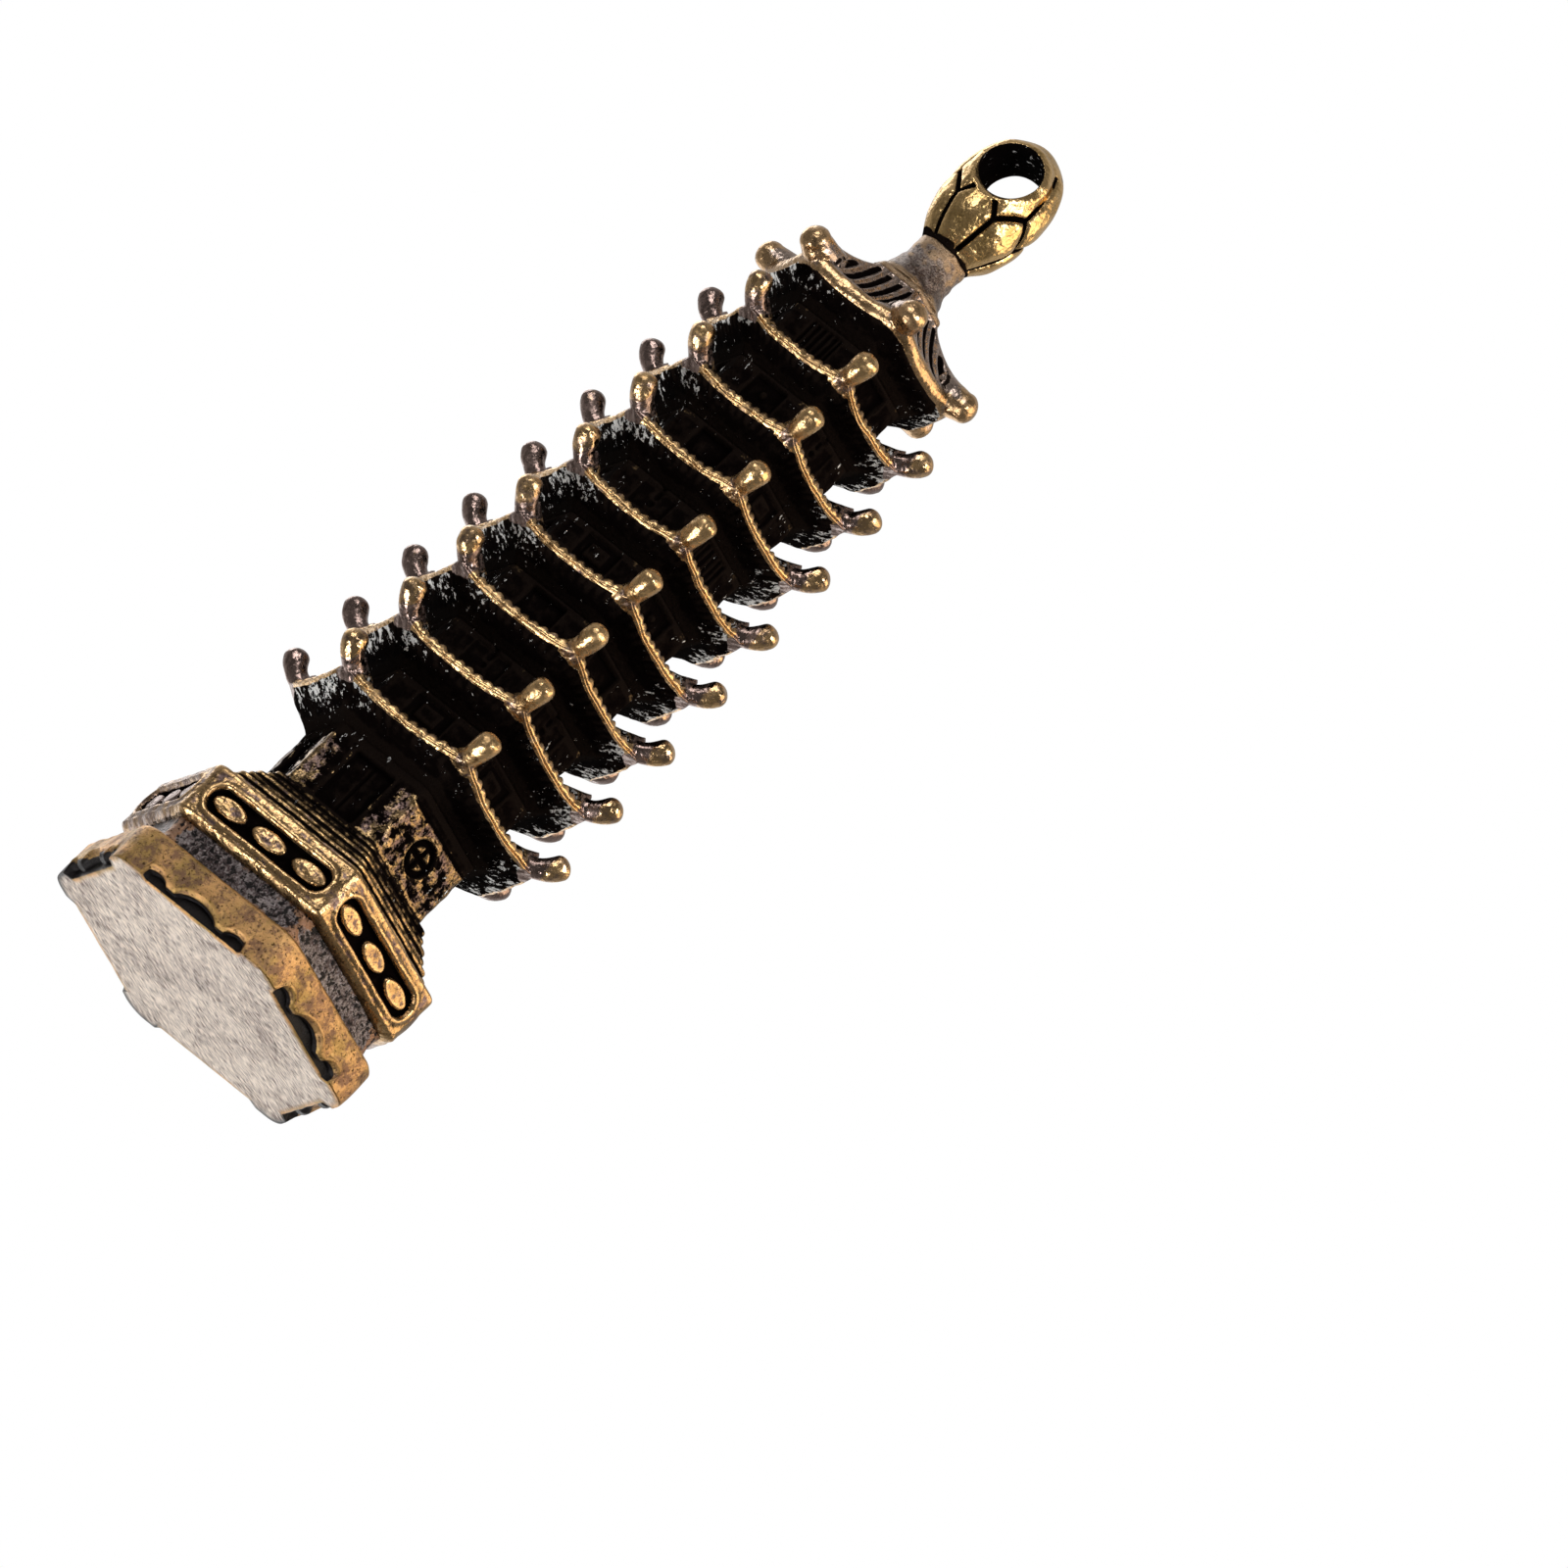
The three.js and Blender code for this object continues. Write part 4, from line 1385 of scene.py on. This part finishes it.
@dataclass
class TopRoof(Member):
    """The top roof: a cove and a smooth lip, a steep fluted slope and blunt upturned tips."""

    wall: float = 4.02
    lip: RoofLip = RoofLip(5.75, 1.1, 0.6, 0.45)
    top_corner: float = 2.35
    hip_lift: float = 1.1
    tip_corner: float = 5.98
    tip_rise: float = 2.26
    tip_reach: float = 1.4
    tip_radii: Triple = (0.98, 0.84, 0.73)
    flute_pitch: float = 0.66
    flute_depth: float = 0.3
    unevenness: Wobble = Wobble(71, 0.035)
    plan: HexPlan = HexPlan(112)

    def flute(self, along: Array) -> Array:
        """The flutes across a side, from 0 on the ridges between them to 1 in their beds."""
        return 0.5 - 0.5 * np.cos(along * 2 * math.pi / self.flute_pitch)

    def shape(self) -> bpy.types.Object:
        """Builds the mesh."""
        lip = self.lip
        rings = Rings(self.plan, self.low, lip.lift_power, 0.3)
        for t in np.linspace(0, 1, 16)[:-1]:
            corner = self.wall + (lip.corner - 0.08 - self.wall) * t
            rings.add(corner, lip.rise * t**0.78, lip.lift * t**1.35)
        for t in np.linspace(0, 1, 11):
            round_off = 0.14 * (1 - abs(2 * t - 1) ** 2.6)
            rings.add(lip.corner - 0.14, lip.rise + (lip.thickness + 0.12) * t, lip.lift, round_off)
        foot = lip.rise + lip.thickness
        for t in np.linspace(0.02, 1, 52):
            corner = self.top_corner + (lip.corner - 0.16 - self.top_corner) * (1 - t) ** 1.2
            z = foot + 0.12 * (1 - t) + (self.height - foot) * t**1.25
            along = rings.along(corner)
            from_hip = corner / 2 - np.abs(along)
            band = ease(0.0, 0.06, t) * ease(1.0, 0.93, t) * ease(0.15, 0.38, from_hip)
            ridge = 0.08 * bell(from_hip, 0.3) * (1 - t)
            sunk = self.flute_depth * self.flute(along) ** 0.8 * band * (1 - 0.45 * t)
            rings.add(corner, z, self.hip_lift * (1 - t), ridge - sunk)
        surface = rings.closed()
        rim = ease(self.wall - 0.2, self.wall + 0.6, from_axis(surface.points))
        surface.points[:, 2] += rim * self.unevenness.at(surface.points)
        root = (lip.corner - self.tip_reach, self.low + foot + lip.lift)
        rod = CurledRod(root, (self.tip_corner, self.low + self.tip_rise), *self.tip_radii)
        return combine(self.node, surface, rod.surface().on_corners(), Joining.WELD)

    def values(self, points: Array) -> dict[str, Array]:
        """Works out what the finish reads at each point."""
        lip = self.lip
        out, along, _ = side_coordinates(points)
        reach, across = corner_coordinates(points)
        half = np.maximum(out / COS_HALF_SIDE, 1) / 2
        sag = np.minimum(np.abs(along) / half, 1.1) ** lip.lift_power
        rise = points[:, 2] - self.low - lip.lift * sag
        edge = ease(lip.face - 0.35, lip.face - 0.12, out) * ease(lip.rise - 0.08, lip.rise + 0.06, rise)
        rod = ease(0.8, 0.6, np.abs(across)) * ease(lip.corner - 1.3, lip.corner - 0.5, reach)
        rod = rod * ease(1.0, 1.5, points[:, 2] - self.low)
        groove = self.flute(along) ** 2.6 * ease(0.12, 0.3, half - np.abs(along))
        groove = groove * ease(self.high, self.high - 0.3, points[:, 2])
        slope = 0.56 * ease(lip.rise + 0.45, lip.rise + 0.62, rise) * (1 - 0.9 * groove)
        zone = np.maximum.reduce([0.95 * edge, 0.88 * rod, slope])
        inward = ease(self.tip_corner - 0.1, self.tip_corner - 0.6, reach)
        dusk_and_shade = 0.75 * ease(lip.rise + 0.6, lip.rise + 0.75, rise) * (1 - rod) + 0.45 * rod * inward
        ramp = ease(0.1, 0.9, (out / COS_HALF_SIDE - self.wall) / (lip.corner - self.wall))
        under = 1 - ease(1.6, 2.0, rise)
        # Glint thickens toward the sides seen edge-on from the lit front: partly real flecks, partly
        # painted glints.
        glint = (0.3 + 0.7 * ramp) * under * (0.3 + 0.7 * away_from_lit_front(points))
        return {"zone": zone, "glint": glint, "dusk_and_shade": dusk_and_shade}


@dataclass
class NeckCollar(Member):
    """The small hexagonal collar on the roof."""

    corner: float = 2.35
    fillet: float = 0.35
    draft: float = 0.1
    edge_round: float = 0.12
    plan: HexPlan = HexPlan(30)

    def shape(self) -> bpy.types.Object:
        """Builds the mesh."""
        share = np.linspace(0, 1, 9)
        corner = self.corner - self.draft * share - self.edge_round * np.abs(2 * share - 1) ** 3
        out, along = self.plan.outline(corner, self.fillet)
        grid = self.plan.place(out, along, self.low + self.height * share[:, None])
        return Surface.from_rings(grid).to_object(self.node)

    def values(self, points: Array) -> dict[str, Array]:
        """Works out what the finish reads at each point."""
        return {"zone": 0.3}


@dataclass
class SpireNeck(Member):
    """The concave neck from the collar to the seat of the bud."""

    foot_radius: float = 1.95
    waist_radius: float = 1.25
    top_radius: float = 1.32
    unevenness: Wobble = Wobble(83, 0.03, 12, 0.5, 1.8)
    around: int = 96

    def shape(self) -> bpy.types.Object:
        """Builds the mesh."""
        share = np.linspace(0, 1, 34)
        radius = self.waist_radius + (self.foot_radius - self.waist_radius) * (1 - share) ** 2.6
        radius = radius + (self.top_radius - self.waist_radius) * share**3
        angle = full_turn(self.around)
        x = radius[:, None] * np.cos(angle)
        y = radius[:, None] * np.sin(angle)
        z = (self.low + self.height * share)[:, None] + x * 0
        grid = np.stack([x, y, z], axis=-1)
        self.unevenness.push(grid, 1.0)
        return Surface.from_rings(grid).to_object(self.node)

    def values(self, points: Array) -> dict[str, Array]:
        """Works out what the finish reads at each point."""
        return {"zone": ease(self.low, self.high, points[:, 2]) * 0.35}


@dataclass
class LotusBud(Member):
    """The lotus bud with its two rows of petals, pierced by the round hanging hole."""

    seat_radius: float = 1.32
    widest: float = 2.5
    widest_at: float = 0.46
    flattening: float = 0.16
    hole_radius: float = 1.5
    hole_below_top: float = 2.4
    rim: float = 0.16
    petals: int = 6
    seam_top: float = 0.32
    petal_top: float = 0.48
    groove_width: float = 0.13
    groove_depth: float = 0.24
    pillow: float = 0.16
    bore_reach: float = 3.2
    flare_from: float = 1.73
    flare_run: float = 0.32
    flare_limit: float = 0.9
    unevenness: Wobble = Wobble(91, 0.018, 10, 0.8, 2.4)
    around: int = 264

    @property
    def hole_z(self) -> float:
        """The level of the hole's axis."""
        return self.high - self.hole_below_top

    def radius(self, share: Array) -> Array:
        """The outline: a blunt dome above the widest level and a slimmer curve below it."""
        down = np.clip(1 - share / self.widest_at, 0, 1)
        up = np.clip((share - self.widest_at) / (1 - self.widest_at), 0, 1)
        lower = self.seat_radius + (self.widest - self.seat_radius) * (1 - down**2.1)
        upper = self.widest * np.sqrt(np.clip(1 - up**2.8, 0, 1))
        return np.where(share < self.widest_at, lower, upper)

    def skin(self, angle: Array, share: Array) -> Array:
        """Points on the smooth skin.

        Args:
            angle: Azimuth round the bud.
            share: Height as a share of the bud's.

        Returns:
            The points, with x, y, z last.
        """
        radius = self.radius(share)
        x = radius * np.cos(angle)
        y = radius * (1 - self.flattening * share) * np.sin(angle)
        return np.stack([x, y, self.low + self.height * share], axis=-1)

    def grooves(self) -> Array:
        """Points along the lines that part the petals."""
        lines: list[Array] = []
        step = 2 * math.pi / self.petals
        t = np.linspace(0, 1, 60)
        arch = np.linspace(-1, 1, 90)
        arch_level = self.seam_top + (self.petal_top - self.seam_top) * (1 - np.abs(arch) ** 1.3)
        for i in range(self.petals):
            middle = FRONT_NORMAL + i * step
            lines.append(self.skin(middle + arch * step / 2, arch_level))
            lines.append(self.skin(middle + step / 2 + 0 * t, self.seam_top * t))
            lines.append(self.skin(middle + 0 * t, self.petal_top + 0.38 * t))
        return np.vstack(lines)

    def shape(self) -> bpy.types.Object:
        """Builds the mesh."""
        share = np.concatenate([np.linspace(0, 0.9, 100), 1 - 0.1 * np.linspace(0.95, 0.02, 26) ** 2])
        angle = full_turn(self.around)
        grid = self.skin(angle[None, :] + 0 * share[:, None], share[:, None] + 0 * angle[None, :])
        flat = grid.reshape(-1, 3)
        nearest = self.from_groove(flat)
        clear = self.from_hole(flat)
        fade = ease(0.3, 0.5, clear)
        cut = -self.groove_depth * bell(nearest, self.groove_width) * fade
        pillow = -self.pillow * np.exp(-nearest / 0.4) * fade
        band = 0.05 * bell(clear - 0.2, 0.18)
        seat = ease(0.0, 0.03, (flat[:, 2] - self.low) / self.height)
        centre = np.array([0, 0, self.low + 0.45 * self.height])
        outward = (flat - centre) * np.array([1.0, 1.0, 0.35])
        outward /= np.linalg.norm(outward, axis=1)[:, None]
        lift = (cut + pillow + band) * seat + self.unevenness.at(flat) * seat
        flat = flat + outward * lift[:, None]
        flat[:, 2] = np.clip(flat[:, 2], self.low, self.high - 0.01)
        surface = Surface.from_rings(flat.reshape(grid.shape))
        return combine(self.node, surface, self.bore(), Joining.BORE)

    def from_groove(self, points: Array) -> Array:
        """How far points of the smooth skin are from the nearest line between petals."""
        lines = self.grooves()
        nearest: list[Array] = []
        for batch in np.array_split(points, len(points) // 4000 + 1):
            gap = batch[:, None, :] - lines[None, :, :]
            nearest.append(np.sqrt((gap**2).sum(-1).min(1)))
        return np.concatenate(nearest)

    def from_hole(self, points: Array) -> Array:
        """How far each point is from the edge of the hole, seen along its axis."""
        return np.hypot(points[:, 0], points[:, 2] - self.hole_z) - self.hole_radius

    def bore(self) -> Surface:
        """The spool-shaped cutter of the hole, flared where it leaves the bud."""
        y = np.linspace(-self.bore_reach, self.bore_reach, 61)
        flare = self.rim * np.clip((np.abs(y) - self.flare_from) / self.flare_run, 0, None) ** 2
        radius = self.hole_radius + np.minimum(flare, self.flare_limit)
        angle = full_turn(96)
        x = radius[:, None] * np.cos(angle)
        z = -radius[:, None] * np.sin(angle) + self.hole_z
        return Surface.from_rings(np.stack([x, y[:, None] + 0 * x, z], axis=-1))

    def values(self, points: Array) -> dict[str, Array]:
        """Works out what the finish reads at each point."""
        clear = self.from_hole(points)
        inside = ease(0.05, 0.0, clear)
        share = np.clip((points[:, 2] - self.low) / self.height, 0, 1)
        angle = np.arctan2(points[:, 1] / (1 - self.flattening * share), points[:, 0])
        near = self.from_groove(self.skin(angle, share))
        groove = ease(0.2, 0.1, near) * ease(0.3, 0.45, clear)
        seat = ease(0.55, 0.1, points[:, 2] - self.low + Wobble(93, 0.08).at(points))
        zone = 0.95 - np.maximum.reduce([0.95 * inside, 0.95 * groove, 0.95 * seat])
        return {"zone": zone, "glint": np.maximum(0.30 * inside, 0.12 * seat)}


# ------------------------------------------------------------------ studio


@dataclass(frozen=True)
class Softbox:
    """A square area light that faces the charm."""

    name: str
    direction: Vector
    distance: float
    size: float
    power: float
    tint: Colour = (1.0, 1.0, 1.0)

    def build(self, target: Vector) -> None:
        """Adds the light.

        Args:
            target: The point that it faces, in metres.
        """
        data = bpy.data.lights.new(self.name, "AREA")
        data.size = self.size * MM
        data.energy = self.power
        data.color = self.tint
        lamp = bpy.data.objects.new(self.name, data)
        bpy.context.scene.collection.objects.link(lamp)
        towards = self.direction.normalized()
        lamp.location = target + towards * self.distance * MM
        lamp.rotation_euler = (-towards).to_track_quat("-Z", "Y").to_euler()


@dataclass(frozen=True)
class Studio:
    """The pale floor, the soft lights and the camera."""

    right: Triple = (0.7402, 0.0283, 0.6717)
    up: Triple = (-0.5857, -0.4635, 0.6649)
    ahead: Triple = (-0.3302, 0.8856, 0.3265)
    from_below: Triple = (-0.33, 0.886, -0.327)
    position: Triple = (514.3, -1345.2, -470.7)
    aim_height: float = 30.0
    lens: float = 771.6
    floor_radius: float = 420.0
    surround_low: float = 0.13
    surround_high: float = 0.5

    def build(self) -> None:
        """Sets up everything round the charm."""
        self._camera()
        self._floor()
        self._world()
        self._lights()
        bpy.context.scene.view_settings.view_transform = "Standard"

    def _camera(self) -> None:
        """Adds the camera."""
        data = bpy.data.cameras.new("camera")
        data.sensor_width = 36.0
        data.lens = self.lens
        data.clip_start = 0.01
        data.clip_end = 20.0
        camera = bpy.data.objects.new("camera", data)
        bpy.context.scene.collection.objects.link(camera)
        columns = [Vector(self.right), Vector(self.up), -Vector(self.ahead)]
        turn = Matrix(columns).transposed().to_4x4()
        camera.matrix_world = Matrix.Translation(Vector(self.position) * MM) @ turn
        bpy.context.scene.camera = camera

    def _floor(self) -> None:
        """Adds the floor, which is seen only from above."""
        radius = self.floor_radius * MM
        ring = [(radius * math.cos(a), radius * math.sin(a), 0.0) for a in full_turn(128)]
        mesh = bpy.data.meshes.new("floor")
        mesh.from_pydata(ring, [], [tuple(range(len(ring)))])
        floor = bpy.data.objects.new("floor", mesh)
        bpy.context.scene.collection.objects.link(floor)
        nodes = NodeMaker.material("pale_floor")
        grey = {"Base Color": (0.82, 0.82, 0.81), "Roughness": 0.7}
        paint = nodes.make("ShaderNodeBsdfPrincipled", inputs=grey)
        clear = nodes.make("ShaderNodeBsdfTransparent")
        behind = nodes.make("ShaderNodeNewGeometry", output="Backfacing")
        mixed = nodes.make("ShaderNodeMixShader", inputs={0: behind, 1: paint, 2: clear})
        mesh.materials.append(nodes.finish(mixed))
        floor.visible_diffuse = False
        floor.visible_glossy = False
        floor.visible_shadow = False

    def _world(self) -> None:
        """Sets a white surround for the camera and a softer graded one for the light."""
        world = bpy.data.worlds.new("studio")
        nodes = NodeMaker(world)
        heading = nodes.make("ShaderNodeTexCoord", output="Generated")
        towards = {0: heading, 1: self.ahead}
        ahead = nodes.make("ShaderNodeVectorMath", {"operation": "DOT_PRODUCT"}, towards, output="Value")
        strength = self.surround_low + (self.surround_high - self.surround_low) * ahead.eased(-0.25, 0.8)
        lit = nodes.make("ShaderNodeBackground", inputs={"Color": (1.0, 0.985, 0.96), "Strength": strength})
        seen = nodes.make("ShaderNodeBackground", inputs={"Color": (1.0, 1.0, 1.0)})
        path = nodes.make("ShaderNodeLightPath", output="Is Camera Ray")
        mixed = nodes.make("ShaderNodeMixShader", inputs={0: path, 1: lit, 2: seen})
        nodes.make("ShaderNodeOutputWorld", inputs={"Surface": mixed})
        bpy.context.scene.world = world

    def _lights(self) -> None:
        """Adds the softboxes."""
        target = Vector((0.0, 0.0, self.aim_height)) * MM
        right, up, back = Vector(self.right), Vector(self.up), -Vector(self.ahead)
        white, amber = (1.0, 1.0, 1.0), (1.0, 0.80, 0.56)
        for name, aim, distance, size, power, tint in (
            ("key_left", back * 0.7 - right * 0.9 - up * 0.5, 260.0, 110.0, 0.46, white),
            ("key_right", back * 0.8 + right * 0.8 - up * 0.1, 260.0, 90.0, 0.32, white),
            ("side_right", back * 0.1 + right * 0.9 - up * 0.4, 260.0, 170.0, 0.30, amber),
            ("top", back * 0.6 + up * 1.0, 260.0, 110.0, 0.2, white),
            ("behind", -back * 0.6 + up * 0.4 - right * 0.2, 300.0, 160.0, 0.2, white),
            ("below", Vector(self.from_below), 300.0, 260.0, 0.22, white),
        ):
            Softbox(name, aim, distance, size, power, tint).build(target)


# ------------------------------------------------------------------ the charm


@dataclass(frozen=True)
class Charm:
    """The whole casting, bottom to top."""

    tiers: int = 9
    tip_radius_first: float = 8.1
    tip_radius_drop: float = 0.23
    wall_corner: float = 5.2
    crown_steps: int = 3
    coin_faces: tuple[int, ...] = (1, 4)
    window_order: tuple[FaceStyle, ...] = (
        FaceStyle.PANEL,
        FaceStyle.NOTCH,
        FaceStyle.SQUARE,
        FaceStyle.PANEL,
        FaceStyle.NOTCH,
        FaceStyle.SQUARE,
        FaceStyle.DOT,
        FaceStyle.SLATS,
    )

    def taper(self, tier: int) -> float:
        """The size of a tier as a share of the first one's."""
        return 1 - self.tip_radius_drop * (tier - 1) / self.tip_radius_first

    def members(self) -> list[Member]:
        """Every member of the casting."""
        antique = Slot.ANTIQUE
        found: list[Member] = [
            FootSlab("foot_slab", Slot.WORN, FOOT_BRASS),
            PlinthWaist("plinth_waist", Slot.SPECKLED, ROUGH_WAIST),
            PlinthBody("plinth_body", Slot.WORN, FRAME_BRASS),
        ]
        for index in range(self.crown_steps):
            found.append(CrownStep(f"crown_step_{index + 1}", antique, CROWN_BRASS, index=index))
        doors = tuple(FaceStyle.COIN if i in self.coin_faces else FaceStyle.DOOR for i in range(SIDES))
        found.append(Storey("storey_1", antique, WALL_BRASS, tier=1, styles=doors, wear=0.5))
        found += [self.storey(tier) for tier in range(2, self.tiers + 1)]
        found += [self.eave(tier) for tier in range(1, self.tiers)]
        wall = self.wall_corner * self.taper(self.tiers)
        found += [
            TopRoof("top_roof", antique, ROOF_BRASS, wall=wall),
            NeckCollar("neck_collar", Slot.MATTE, MATTE_NECK),
            SpireNeck("spire_neck", Slot.MATTE, MATTE_NECK),
            LotusBud("lotus_bud_loop", Slot.WORN, BUD_BRASS),
        ]
        return found

    def storey(self, tier: int) -> Storey:
        """One of the storeys with windows."""
        order = self.window_order
        styles = tuple(order[(tier - 2 + 3 * i) % len(order)] for i in range(SIDES))
        corner = self.wall_corner * self.taper(tier)
        return Storey(f"storey_{tier}", Slot.ANTIQUE, DARK_BRASS, tier=tier, corner=corner, styles=styles)

    def eave(self, tier: int) -> Eave:
        """The eave over one storey."""
        scale = self.taper(tier)
        return Eave(
            f"eave_{tier}",
            Slot.ANTIQUE,
            DARK_BRASS,
            wall=self.wall_corner * scale,
            next_wall=self.wall_corner * self.taper(tier + 1),
            scale=scale,
            tip_radius=self.tip_radius_first * scale,
        )


def main() -> None:
    """Builds the studio and the charm."""
    logging.basicConfig(level=logging.INFO, format="%(name)s %(message)s")
    Studio().build()
    for member in Charm().members():
        member.build()
    bpy.context.view_layer.update()


if __name__ == "__main__":
    main()
